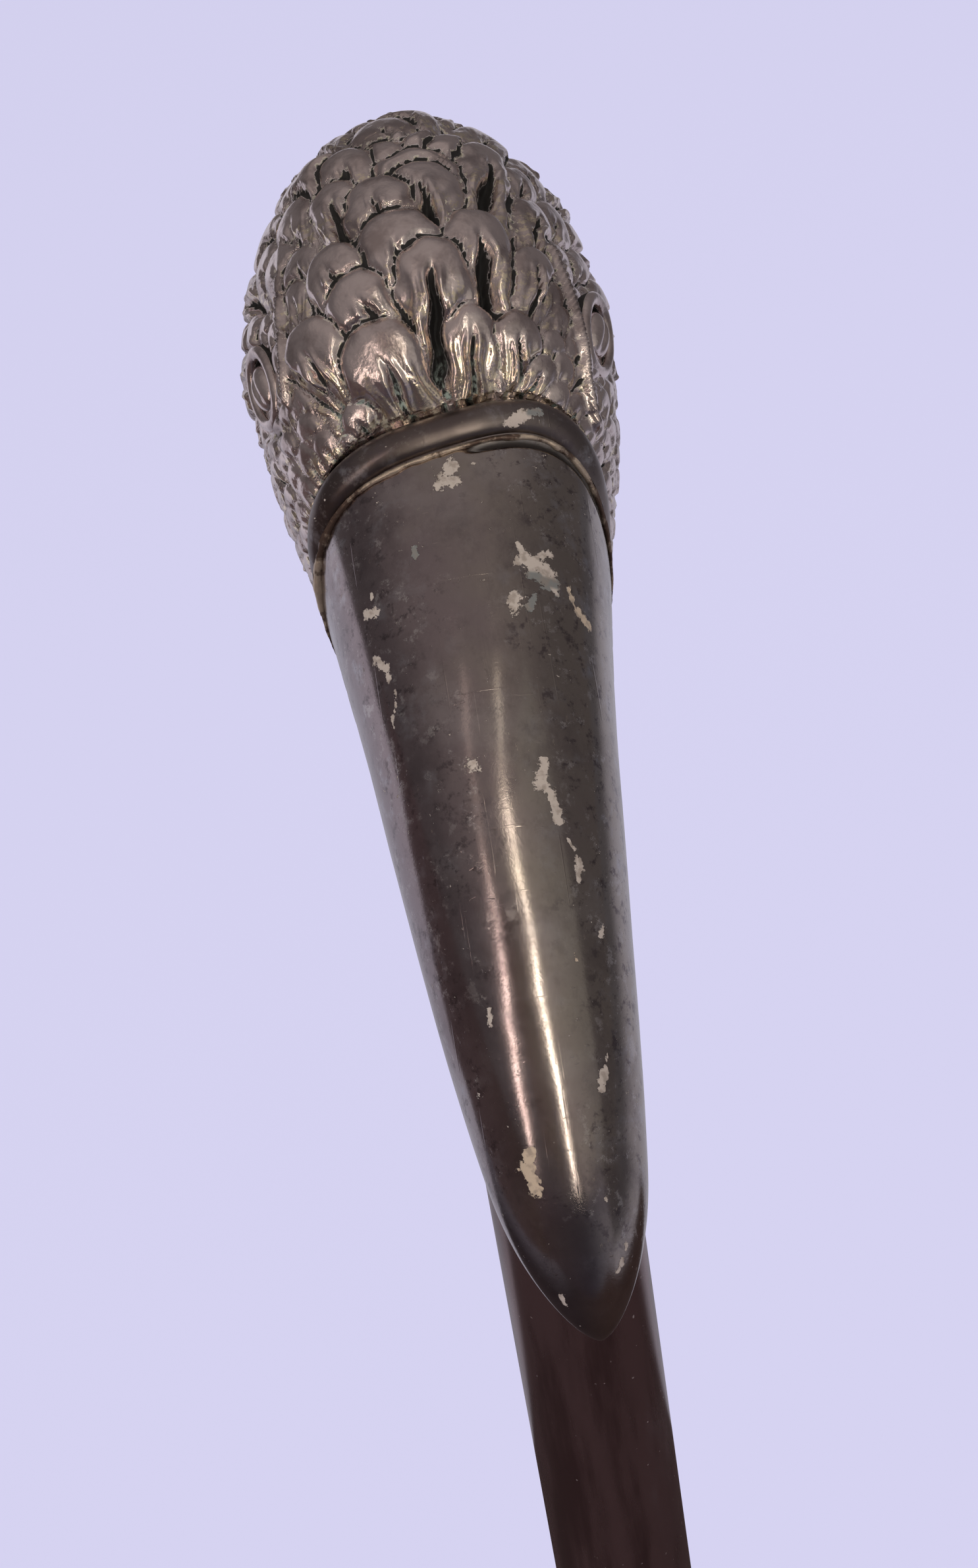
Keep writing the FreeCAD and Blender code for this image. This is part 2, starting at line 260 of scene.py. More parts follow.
@dataclass(frozen=True)
class SilverPlate:
    """Old silver plate on a smooth piece: clouded, mottled, scratched and flaked to the base metal."""
    name: str
    warm: Colour = (0.345, 0.285, 0.29)
    cool: Colour = (0.41, 0.36, 0.32)
    dark: Colour = (0.17, 0.14, 0.145)
    frost: Colour = (0.60, 0.555, 0.54)
    bloom: Colour = (0.50, 0.48, 0.50)
    base_metal: Colour = (0.42, 0.35, 0.30)
    pink_metal: Colour = (0.45, 0.345, 0.25)
    blue_metal: Colour = (0.16, 0.155, 0.145)
    tarnish: Colour = (0.20, 0.155, 0.125)
    # Near black: painted shade inside the open seam.
    gap: Colour = (0.02, 0.014, 0.012)
    roughness: float = 0.1
    dent_depth: float = 0.5 * MM
    grain_depth: float = 0.006 * MM
    scratch_depth: float = 0.012 * MM
    flake_depth: float = 0.12 * MM

    def make(self) -> bpy.types.Material:
        """Builds the material: clouds of tarnish, then mottling, then flakes, and painted shade in the open
        seam.
        """
        tree = ShaderTree(self.name)
        side = tree.axis("X")
        tint = (side * 55.0 + tree.cloud(0.011) * 1.6 - 0.35).step(0.0, 1.0)
        colour = tree.mix(self.warm, self.cool, tint)
        drift = tree.cloud(0.008, detail=6.0, stretch=Vector((1.0, 0.6, 0.6)), roughness=0.68)
        stain = drift.step(0.44, 0.74)
        colour = tree.mix(colour, self.dark, stain * 0.7)
        haze = tree.cloud(0.013, detail=5.0, roughness=0.62).step(0.5, 0.72)
        colour = tree.mix(colour, self.frost, haze * 0.3)
        bloom = tree.cloud(0.0036, detail=5.0, roughness=0.66, turn=Vector((0.7, 0.2, 0.9))).step(0.52, 0.70)
        colour = tree.mix(colour, self.bloom, bloom * (side.math("ABSOLUTE") * 60.0).least(0.75))

        edge_zone = (side * side * 14000.0).least(1.0)
        blotch_zone = (tree.cloud(0.007, detail=2.0) + edge_zone * 0.22).step(0.52, 0.72)
        mottle = tree.cloud(0.0017, detail=6.0, roughness=0.75)
        colour = tree.mix(colour, self.dark, mottle.step(0.52, 0.64) * (blotch_zone * 0.75 + 0.15))
        frosted = tree.cloud(0.0021, detail=6.0, roughness=0.78, turn=Vector((1.0, 0.4, 0.2)))
        frosted = frosted.step(0.55, 0.64)
        colour = tree.mix(colour, self.frost, frosted * (blotch_zone * 0.6 + 0.1))

        speck_zone = tree.cloud(0.012, detail=2.0).step(0.46, 0.62)
        speck = tree.cloud(0.0008, detail=3.0, stretch=Vector((1.3, 0.6, 0.6))).step(0.68, 0.72) * speck_zone
        seam = tree.attribute(Layer.SEAM_SHADE).step(0.2, 0.8)
        ragged = (tree.cloud(0.0009, detail=6.0, roughness=0.72) - 0.5) * 2.5
        broad = (tree.cloud(0.0034, detail=2.0) - 0.5) * 0.9
        flake = (tree.attribute(Layer.FLAKE) + ragged + broad).step(0.47, 0.52)
        flake_tint = tree.attribute(Layer.FLAKE_TINT)
        bare = tree.mix(self.blue_metal, self.base_metal, (flake_tint * 2.0).least(1.0))
        bare = tree.mix(bare, self.pink_metal, (flake_tint * 2.0 - 1.0).most(0.0))
        bare = tree.mix(bare, self.tarnish, tree.cloud(0.0011).step(0.48, 0.64) * 0.6)
        colour = tree.mix(colour, bare, (flake + speck * 0.45).least(1.0))
        # Painted shade: the open seam is filled with the near-black gap colour, dull and barely metallic.
        colour = tree.mix(colour, self.gap, seam)

        grain = tree.cloud(0.0003, detail=2.0)
        rough = self.roughness + tree.cloud(0.006, detail=5.0) * 0.06 + stain * 0.06
        rough = rough + grain * 0.05 + bloom * 0.03
        rough = rough + flake * 0.34 + seam * 0.4 + speck * 0.2 + frosted * blotch_zone * 0.12
        normal = tree.bump(tree.cloud(0.017, detail=1.0), self.dent_depth)
        normal = tree.bump(grain, self.grain_depth, normal)
        normal = tree.bump(self._scratches(tree), self.scratch_depth, normal)
        normal = tree.bump(1.0 - flake, self.flake_depth, normal)
        metal = 1.0 - (flake * 0.65).most(seam * 0.9)
        return tree.finish(Base_Color=colour, Metallic=metal, Roughness=rough, Normal=normal)

    @staticmethod
    def _scratches(tree: ShaderTree) -> Signal:
        """Thin scratches in two directions."""
        long = tree.cloud(0.0004, detail=1.0, stretch=Vector((1.0, 0.02, 0.02))).step(0.70, 0.76)
        cross = tree.cloud(0.0005, detail=1.0, stretch=Vector((0.03, 1.0, 1.0)),
                           turn=Vector((0.2, 0.5, 0.4))).step(0.72, 0.78)
        return long.most(cross)


@dataclass(frozen=True)
class FeatherPlate:
    """Silver plate on the carved feathers: polished crests, painted golden glints that are partly wear to
    the brass, black and gritty hollows, painted shade on the eyes, green near the rim.
    """
    name: str
    crest: Colour = (0.80, 0.695, 0.665)
    shade: Colour = (0.50, 0.415, 0.395)
    # Near black: tarnish in the feathers' hollows, and painted shade on the eyes.
    tarnish_and_shade_black: Colour = (0.012, 0.010, 0.009)
    # Golden white: partly plate worn through to the brass, partly a painted glint.
    wear_and_glint_gold: Colour = (0.92, 0.80, 0.60)
    grit: Colour = (0.42, 0.37, 0.25)
    verdigris: Colour = (0.38, 0.43, 0.37)
    dent_depth: float = 0.22 * MM
    pit_depth: float = 0.035 * MM
    barb_depth: float = 0.05 * MM

    def make(self) -> bpy.types.Material:
        """Builds the material."""
        tree = ShaderTree(self.name)
        hollow = tree.attribute(Layer.HOLLOW)
        cleft = tree.attribute(Layer.CLEFT)
        rim_near = tree.attribute(Layer.RIM_NEAR)
        barb = tree.attribute(Layer.BARB)
        ripple = ((tree.attribute(Layer.BARB_PHASE) * (4 * math.pi)).sine() * 0.5 + 0.5) * barb
        patch = tree.cloud(0.005, detail=4.0, roughness=0.6)
        fine = tree.cloud(0.0009, detail=4.0, roughness=0.7)
        colour = tree.mix(self.crest, self.shade, patch.step(0.42, 0.66))
        # Painted glint: golden white on the barbs' ridges and towards the rim, where the lamps' highlights
        # fall, and partly plate worn to the brass.
        wear_and_painted_glint = (fine + barb * 0.22 + rim_near * 0.08 - 0.04).step(0.66, 0.76)
        colour = tree.mix(colour, self.wear_and_glint_gold, wear_and_painted_glint * 0.8)
        gritty = (hollow.step(0.12, 0.45) * fine.step(0.52, 0.58)).least(1.0)
        colour = tree.mix(colour, self.grit, gritty * 0.85)
        # Black: tarnish in the feathers' hollows and clefts; on the eyes, painted shade in their low parts.
        black = (hollow + (patch - 0.5) * 0.4 + (fine - 0.5) * 0.5).step(0.40, 0.56)
        black = black.most((cleft + (fine - 0.5) * 0.9).step(0.42, 0.56))
        colour = tree.mix(colour, self.tarnish_and_shade_black, black)
        green = (hollow.step(0.05, 0.5) * rim_near.step(0.45, 0.95) * fine.step(0.44, 0.6)).least(1.0)
        green = green.most(rim_near.step(0.90, 0.97) * fine.step(0.45, 0.62) * 0.55)
        colour = tree.mix(colour, self.verdigris, green * 0.7)
        dull = (black + green + gritty * 0.6).least(1.0)
        rough = 0.14 + patch * 0.10 + fine * 0.05 + dull * 0.45 - wear_and_painted_glint * 0.03
        metal = 1.0 - (black * 0.9).most(green * 0.8).most(gritty * 0.5)
        normal = tree.bump(patch, self.dent_depth)
        normal = tree.bump(fine, self.pit_depth, normal)
        normal = tree.bump(ripple, self.barb_depth, normal)
        return tree.finish(Base_Color=colour, Metallic=metal, Roughness=rough, Normal=normal)


@dataclass(frozen=True)
class ShaftPlate:
    """Red-brown over the plated tube, streaked along its length."""
    name: str
    body: Colour = (0.19, 0.112, 0.108)
    dark: Colour = (0.085, 0.045, 0.043)
    bright: Colour = (0.34, 0.27, 0.27)
    speckle: Colour = (0.36, 0.32, 0.30)
    dent_depth: float = 0.2 * MM
    grain_depth: float = 0.004 * MM

    def make(self) -> bpy.types.Material:
        """Builds the material."""
        tree = ShaderTree(self.name)
        run = tree.cloud(0.006, detail=5.0, stretch=Vector((1.0, 1.0, 0.12)), roughness=0.6)
        colour = tree.mix(self.body, self.dark, run.step(0.4, 0.68) * 0.8)
        rubbed = tree.cloud(0.02, detail=6.0, stretch=Vector((1.0, 1.0, 0.25)), roughness=0.7)
        colour = tree.mix(colour, self.bright, rubbed.step(0.56, 0.72) * 0.35)
        speck = tree.cloud(0.0011, detail=3.0).step(0.72, 0.75)
        colour = tree.mix(colour, self.speckle, speck * 0.5)
        rough = 0.2 + run * 0.14 + speck * 0.15
        normal = tree.bump(tree.cloud(0.02, detail=1.0), self.dent_depth)
        normal = tree.bump(tree.cloud(0.0003, detail=2.0), self.grain_depth, normal)
        return tree.finish(Base_Color=colour, Metallic=0.86 - speck * 0.4, Roughness=rough, Normal=normal)


@dataclass(frozen=True)
class Solder:
    """The pinkish-gold solder line between beak and rim."""
    name: str
    gold: Colour = (0.60, 0.48, 0.37)
    brown: Colour = (0.13, 0.085, 0.065)
    lump_depth: float = 0.2 * MM

    def make(self) -> bpy.types.Material:
        """Builds the material."""
        tree = ShaderTree(self.name)
        lump = tree.cloud(0.0016, detail=5.0, roughness=0.65)
        broad = tree.cloud(0.006, detail=3.0)
        colour = tree.mix(self.gold, self.brown, (lump * 0.6 + broad * 0.6).step(0.56, 0.68))
        normal = tree.bump(tree.cloud(0.0009, detail=3.0), self.lump_depth)
        return tree.finish(Base_Color=colour, Metallic=0.85, Roughness=0.3 + lump * 0.2, Normal=normal)


@dataclass(frozen=True)
class TurnedMetal:
    """Lathe-turned metal with fine rings, for the pieces inside."""
    name: str
    colour: Colour
    stained: float = 0.55
    ring_depth: float = 0.02 * MM

    def make(self) -> bpy.types.Material:
        """Builds the material."""
        tree = ShaderTree(self.name)
        rings = tree.cloud(0.0004, detail=2.0, stretch=Vector((0.01, 0.01, 1.0)))
        stain = tree.cloud(0.006, detail=4.0)
        darker = tuple(value * self.stained for value in self.colour)
        colour = tree.mix(self.colour, darker, stain.step(0.45, 0.75))
        normal = tree.bump(rings, self.ring_depth)
        return tree.finish(Base_Color=colour, Metallic=1.0, Roughness=0.24 + stain * 0.16, Normal=normal)


@dataclass(frozen=True)
class OldRubber:
    """Black rubber, dusty and scuffed towards the floor."""
    name: str
    black: Colour = (0.022, 0.021, 0.021)
    dust: Colour = (0.17, 0.155, 0.14)
    dust_top: float = 14.0 * MM
    grain_depth: float = 0.06 * MM

    def make(self) -> bpy.types.Material:
        """Builds the material."""
        tree = ShaderTree(self.name)
        low = tree.axis("Z").step(self.dust_top, 0.0)
        scuff = tree.cloud(0.0035, detail=6.0, roughness=0.7)
        dusty = (scuff.step(0.5, 0.75) * 0.35 + low * scuff.step(0.35, 0.6) * 0.6).least(1.0)
        colour = tree.mix(self.black, self.dust, dusty)
        normal = tree.bump(tree.cloud(0.0006, detail=4.0), self.grain_depth)
        return tree.finish(Base_Color=colour, Roughness=0.55 + scuff * 0.25, Normal=normal)


@dataclass(frozen=True)
class PaleGround:
    """The lavender floor: pale where it is seen, and dimmer where metal mirrors it."""
    name: str
    far: Colour = (0.60, 0.58, 0.65)
    far_right: Colour = (0.12, 0.115, 0.13)
    near: Colour = (0.44, 0.43, 0.50)
    near_reach: float = 0.7
    far_reach: float = 3.6
    right_reach: float = 2.5
    shown: float = 0.8

    def make(self) -> bpy.types.Material:
        """Builds the material."""
        tree = ShaderTree(self.name)
        seen, mirrored, through = tree.rays("Camera", "Glossy", "Transmission")
        away = tree.node("ShaderNodeVectorMath", {"operation": "LENGTH"}, {0: tree.place()}, output="Value")
        far = tree.mix(self.far, self.far_right, tree.axis("X").step(0.0, self.right_reach))
        dimmed = tree.mix(self.near, far, away.step(self.near_reach, self.far_reach))
        glow = tree.glow(tree.mix(LAVENDER, dimmed, mirrored))
        matt = tree.node("ShaderNodeBsdfDiffuse", {}, {"Color": LAVENDER})
        share = (seen.most(through) * self.shown).most(mirrored)
        return tree.end(tree.blend(share, matt, glow))


# The photograph's view

@dataclass
class Shot:
    """The camera: its place about the head's middle, its tilt and roll, and how far off the head is."""
    eye_height: float
    ahead: float = 0.319
    above: float = 0.2018
    tilt: float = 40.0
    roll: float = -9.26
    turn: float = 0.215
    lens: float = 72.0
    film: float = 36.0
    far: float = 0.374

    def matrix(self) -> Matrix:
        """The camera's place and directions."""
        place = Matrix.Translation((0.0, -self.ahead, self.eye_height + self.above))
        turned = Matrix.Rotation(math.radians(self.turn), 4, "Z")
        tilted = Matrix.Rotation(math.radians(90.0 - self.tilt), 4, "X")
        return place @ turned @ tilted @ Matrix.Rotation(math.radians(self.roll), 4, "Z")

    def make(self) -> None:
        """Adds the camera and makes it the scene's."""
        data = bpy.data.cameras.new("photo_camera")
        data.lens = self.lens
        data.sensor_width = self.film
        data.clip_start = 0.01
        camera = bpy.data.objects.new("photo_camera", data)
        camera.matrix_world = self.matrix()
        bpy.context.collection.objects.link(camera)
        bpy.context.scene.camera = camera

    def sight(self, pixel: Pixel) -> Tuple[Vector, Vector]:
        """The line of sight through a pixel of the photograph.

        Args:
            pixel: x and y in the photograph.

        Returns:
            The camera's place and the line's direction.
        """
        matrix = self.matrix()
        scale = self.film / self.lens / PHOTO_HEIGHT
        across = (pixel[0] - PHOTO_WIDTH / 2) * scale
        up = (PHOTO_HEIGHT / 2 - pixel[1]) * scale
        way = matrix.to_3x3() @ Vector((across, up, -1.0))
        return matrix.translation, way.normalized()

    def land(self, pixel: Pixel, surface: BVHTree) -> Optional[Vector]:
        """Where the line of sight through a pixel first meets a surface."""
        start, way = self.sight(pixel)
        return surface.ray_cast(start, way)[0]


@dataclass(frozen=True)
class GlowCard:
    """A card that only metal mirrors: a tone at each side, and where edge is given, a third at the right."""
    name: str
    left: Colour
    right: Colour
    edge: Optional[Colour] = None
    edge_start: float = 0.1

    def make(self) -> bpy.types.Material:
        """Builds the material."""
        tree = ShaderTree(self.name)
        colour = tree.mix(self.left, self.right, tree.axis("X").step(-0.5, 0.5))
        if self.edge:
            colour = tree.mix(colour, self.edge, tree.axis("X").step(self.edge_start, 0.5))
        return tree.end(tree.glow(colour))


@dataclass(frozen=True)
class Strip:
    """A narrow lamp: the directions of its two ends from the beak, its brightness and its colour."""
    name: str
    first: Tuple[float, float, float]
    last: Tuple[float, float, float]
    radiance: float
    colour: Colour


GOLD_LIGHT = (1.0, 0.92, 0.76)
PINK_LIGHT = (1.0, 0.82, 0.72)


@dataclass
class Studio:
    """Floor, room, soft lamps and the dark and pale cards round the camera."""
    floor_radius: float = 8.0
    zenith: Colour = (0.27, 0.24, 0.235)
    horizon: Colour = (0.12, 0.107, 0.11)
    fill: float = 0.85
    beak_from_head: Tuple[float, float, float] = (0.0, -0.078, -0.022)
    strip_far: float = 0.9
    strip_width: float = 0.036
    strips: Tuple[Strip, ...] = (
        Strip("right_strip_high", (0.14, -0.10, 0.99), (0.03, -0.42, 0.91), 1.0, GOLD_LIGHT),
        Strip("right_strip_mid", (0.03, -0.42, 0.91), (0.09, -0.70, 0.70), 6.4, GOLD_LIGHT),
        Strip("right_strip_low", (0.09, -0.70, 0.70), (0.20, -0.94, 0.31), 13.5, GOLD_LIGHT),
        Strip("left_strip_high", (-0.16, -0.09, 0.99), (-0.35, -0.49, 0.80), 0.55, PINK_LIGHT),
        Strip("left_strip_mid", (-0.35, -0.49, 0.80), (-0.40, -0.61, 0.68), 2.4, PINK_LIGHT),
        Strip("left_strip_low", (-0.40, -0.61, 0.68), (-0.68, -0.70, 0.21), 7.5, PINK_LIGHT),
    )

    def make(self, head: Vector) -> None:
        """Builds the room round the stick.

        Args:
            head: the middle of the head.
        """
        self._floor()
        self._room()
        beak = head + Vector(self.beak_from_head)
        for strip in self.strips:
            self._strip(strip, beak)
        self._softbox("key_softbox", head + Vector((-0.8, -1.2, 1.3)), head, 1.2, 14.0)
        self._softbox("back_softbox", head + Vector((1.0, 1.3, 0.9)), head, 1.0, 8.0)
        for card in self._cards(beak):
            self._card(*card)

    @staticmethod
    def _cards(beak: Vector) -> List[Tuple[GlowCard, Vector, Vector, float, float]]:
        """Each card with its place, the way it faces, its width and its height."""
        return [
            (GlowCard("dark_card", (0.085, 0.06, 0.062), (0.028, 0.03, 0.05), (0.24, 0.23, 0.27)),
             Vector((-0.10, -0.45, 0.47)), Vector((0, 1, 0)), 1.1, 0.94),
            (GlowCard("dark_card_left", (0.115, 0.085, 0.088), (0.08, 0.056, 0.052)),
             Vector((-0.45, -0.20, 0.68)), Vector((1, 0, 0)), 0.6, 0.5),
            (GlowCard("dark_card_below", (0.06, 0.038, 0.035), (0.04, 0.034, 0.04), (0.15, 0.14, 0.165),
                      edge_start=0.2),
             Vector((-0.04, -0.24, 0.645)), Vector((0, 0, 1)), 0.64, 0.54),
            (GlowCard("glow_between", (0.15, 0.115, 0.105), (0.17, 0.14, 0.12)),
             beak + Vector((-0.16, -0.66, 0.48)), Vector((0.16, 0.66, -0.48)), 0.30, 0.42),
            (GlowCard("halo_card", (0.40, 0.37, 0.345), (0.25, 0.235, 0.225)),
             beak + Vector((0.60, -0.62, 0.62)), Vector((-0.60, 0.62, -0.62)), 0.85, 1.2),
        ]

    def _floor(self) -> None:
        """A round pale floor."""
        shape = bmesh.new()
        bmesh.ops.create_circle(shape, cap_ends=True, segments=96, radius=self.floor_radius)
        floor = new_object("floor", shape)
        floor.data.materials.append(PaleGround("pale_ground").make())

    def _room(self) -> None:
        """The world: pale to the camera, a dim room to the metal, plain to the rest."""
        world = bpy.data.worlds.new("room")
        bpy.context.scene.world = world
        tree = ShaderTree("room", world)
        seen, mirrored = tree.rays("Camera", "Glossy")
        way = tree.node("ShaderNodeTexCoord", output="Generated")
        room = tree.mix(self.horizon, self.zenith, tree.axis("Z", way).step(0.3, 1.0))
        room = tree.mix(room, self.horizon, tree.axis("X", way).step(0.1, 0.9) * 0.6)
        levels = (((1.0, 1.0, 1.0), self.fill), (room, 1.0), (LAVENDER, 1.0))
        plain, dim, pale = (tree.node("ShaderNodeBackground", {}, {"Color": colour, "Strength": strength})
                            for colour, strength in levels)
        tree.end(tree.blend(seen, tree.blend(mirrored, plain, dim), pale))

    def _strip(self, strip: Strip, beak: Vector) -> None:
        """A narrow lamp between two directions from the beak, seen in it as a bright line."""
        start = beak + Vector(strip.first).normalized() * self.strip_far
        end = beak + Vector(strip.last).normalized() * self.strip_far
        middle = (start + end) / 2
        length = (end - start).length
        way = (beak - middle).normalized()
        lamp = self._lamp(strip.name, middle, way, end - start, self.strip_width, length)
        lamp.data.energy = strip.radiance * math.pi * self.strip_width * length
        lamp.data.color = strip.colour

    def _softbox(self, name: str, place: Vector, aim: Vector, width: float, energy: float) -> None:
        """A large soft lamp that metal doesn't mirror."""
        lamp = self._lamp(name, place, aim - place, Vector((0, 0, 1)), width, width)
        lamp.data.energy = energy
        lamp.visible_glossy = False

    @staticmethod
    def _facing(place: Vector, way: Vector, long: Vector) -> Matrix:
        """A placement whose -Z looks one way and whose Y lies along another."""
        back = -way.normalized()
        along = (long - back * long.dot(back)).normalized()
        turned = Matrix((along.cross(back), along, back)).transposed().to_4x4()
        return Matrix.Translation(place) @ turned

    def _lamp(self, name: str, place: Vector, way: Vector, long: Vector, width: float,
              length: float) -> bpy.types.Object:
        """A rectangular lamp at a place that shines one way, its length along another."""
        data = bpy.data.lights.new(name, "AREA")
        data.shape = "RECTANGLE"
        data.size = width
        data.size_y = length
        lamp = bpy.data.objects.new(name, data)
        lamp.matrix_world = self._facing(place, way, long)
        bpy.context.collection.objects.link(lamp)
        return lamp

    def _card(self, finish: GlowCard, place: Vector, way: Vector, width: float, height: float) -> None:
        """A card that only metal mirrors, facing one way."""
        shape = bmesh.new()
        bmesh.ops.create_grid(shape, x_segments=1, y_segments=1, size=0.5)
        card = new_object(finish.name, shape)
        size = Matrix.Diagonal((width, height, 1.0, 1.0))
        upright = Vector((0, 1, 0)) if abs(way.normalized().z) > 0.9 else Vector((0, 0, 1))
        card.matrix_world = self._facing(place, way, upright) @ size
        card.data.materials.append(finish.make())
        for ray in ("camera", "diffuse", "transmission", "volume_scatter", "shadow"):
            setattr(card, "visible_" + ray, False)


# Mesh building

def new_object(name: str, shape: bmesh.types.BMesh) -> bpy.types.Object:
    """Turns a bmesh into a smooth-shaded object and frees it.

    Args:
        name: the object's name.
        shape: the finished bmesh.

    Returns:
        The object, linked to the scene.
    """
    mesh = bpy.data.meshes.new(name)
    shape.to_mesh(mesh)
    shape.free()
    mesh.shade_smooth()
    made = bpy.data.objects.new(name, mesh)
    bpy.context.collection.objects.link(made)
    return made


def store(mesh: bpy.types.Mesh, layer: Layer, values: np.ndarray) -> None:
    """Keeps one value for each vertex as a named attribute."""
    kept = mesh.attributes.new(layer.value, "FLOAT", "POINT")
    kept.data.foreach_set("value", np.asarray(values, dtype=np.float32))


def read_points(mesh: bpy.types.Mesh) -> np.ndarray:
    """The vertices' places, one row each."""
    flat = np.empty(len(mesh.vertices) * 3)
    mesh.vertices.foreach_get("co", flat)
    return flat.reshape(-1, 3)


def write_points(mesh: bpy.types.Mesh, points: np.ndarray) -> None:
    """Moves the vertices to new places."""
    mesh.vertices.foreach_set("co", points.ravel())
    mesh.update()


def read_normals(mesh: bpy.types.Mesh) -> np.ndarray:
    """The vertices' outward directions, one row each."""
    flat = np.empty(len(mesh.vertices) * 3, dtype=np.float32)
    mesh.vertex_normals.foreach_get("vector", flat)
    return flat.reshape(-1, 3).astype(float)


def surface_of(mesh: bpy.types.Mesh) -> BVHTree:
    """A tree for finding where a line meets a mesh."""
    return BVHTree.FromPolygons([vertex.co for vertex in mesh.vertices],
                                [tuple(face.vertices) for face in mesh.polygons])


def wrapped_grid(around: int, along: int, place: Callable[[float, float], Vector]) -> bmesh.types.BMesh:
    """A grid bent into a tube or ring, with its seams and poles welded and its open ends filled.

    Args:
        around: how many faces go round.
        along: how many faces go along.
        place: the point for a share of the way round and a share of the way along.

    Returns:
        The closed bmesh, with its faces outward.
    """
    shape = bmesh.new()
    bmesh.ops.create_grid(shape, x_segments=around, y_segments=along, size=1.0)
    for vertex in shape.verts:
        vertex.co = place((vertex.co.x + 1) / 2, (vertex.co.y + 1) / 2)
    bmesh.ops.remove_doubles(shape, verts=shape.verts, dist=0.002 * MM)
    bmesh.ops.holes_fill(shape, edges=shape.edges, sides=0)
    bmesh.ops.recalc_face_normals(shape, faces=shape.faces)
    return shape


def neighbour_mean(mesh: bpy.types.Mesh, values: np.ndarray, rounds: int) -> np.ndarray:
    """Blurs values over a mesh by averaging each vertex with its neighbours, a number of rounds."""
    flat = np.empty(len(mesh.edges) * 2, dtype=np.int32)
    mesh.edges.foreach_get("vertices", flat)
    first, second = flat.reshape(-1, 2).T
    count = len(mesh.vertices)
    share = np.bincount(first, minlength=count) + np.bincount(second, minlength=count) + 1.0
    blurred = values.copy()
    for _ in range(rounds):
        total = np.bincount(first, weights=blurred[second], minlength=count)
        total += np.bincount(second, weights=blurred[first], minlength=count)
        blurred = (blurred + total) / share
    return blurred


def squarish(angle: float, power: float = 2.4) -> float:
    """How far a rounded square stands outside its ellipse at an angle, as a factor."""
    share = abs(math.sin(angle)) ** power + abs(math.cos(angle)) ** power
    return share ** (-1.0 / power)


def ease(share: Values) -> Values:
    """A smooth step of a share, held within 0 and 1."""
    held = np.clip(share, 0.0, 1.0)
    return held * held * (3.0 - 2.0 * held)


def wobble(points: np.ndarray, size: float, turn: float) -> np.ndarray:
    """A smooth wandering value from -1 to 1 at each point, whose waves have about this size."""
    scaled = points * (2 * math.pi / size)
    first = np.sin(scaled[:, 0] * 1.1 + scaled[:, 1] * 0.7 + turn) * np.cos(scaled[:, 2] * 0.9 - turn)
    second = np.sin(scaled[:, 1] * 1.7 - scaled[:, 2] * 1.3 + 2.0 * turn) * np.cos(scaled[:, 0] * 1.9 + turn)
    return first * 0.65 + second * 0.35


def hill(distance: Values, width: float) -> Values:
    """A soft bump of height 1 that has died away at about twice its width."""
    return np.exp(-(distance / width) ** 2)


# Head

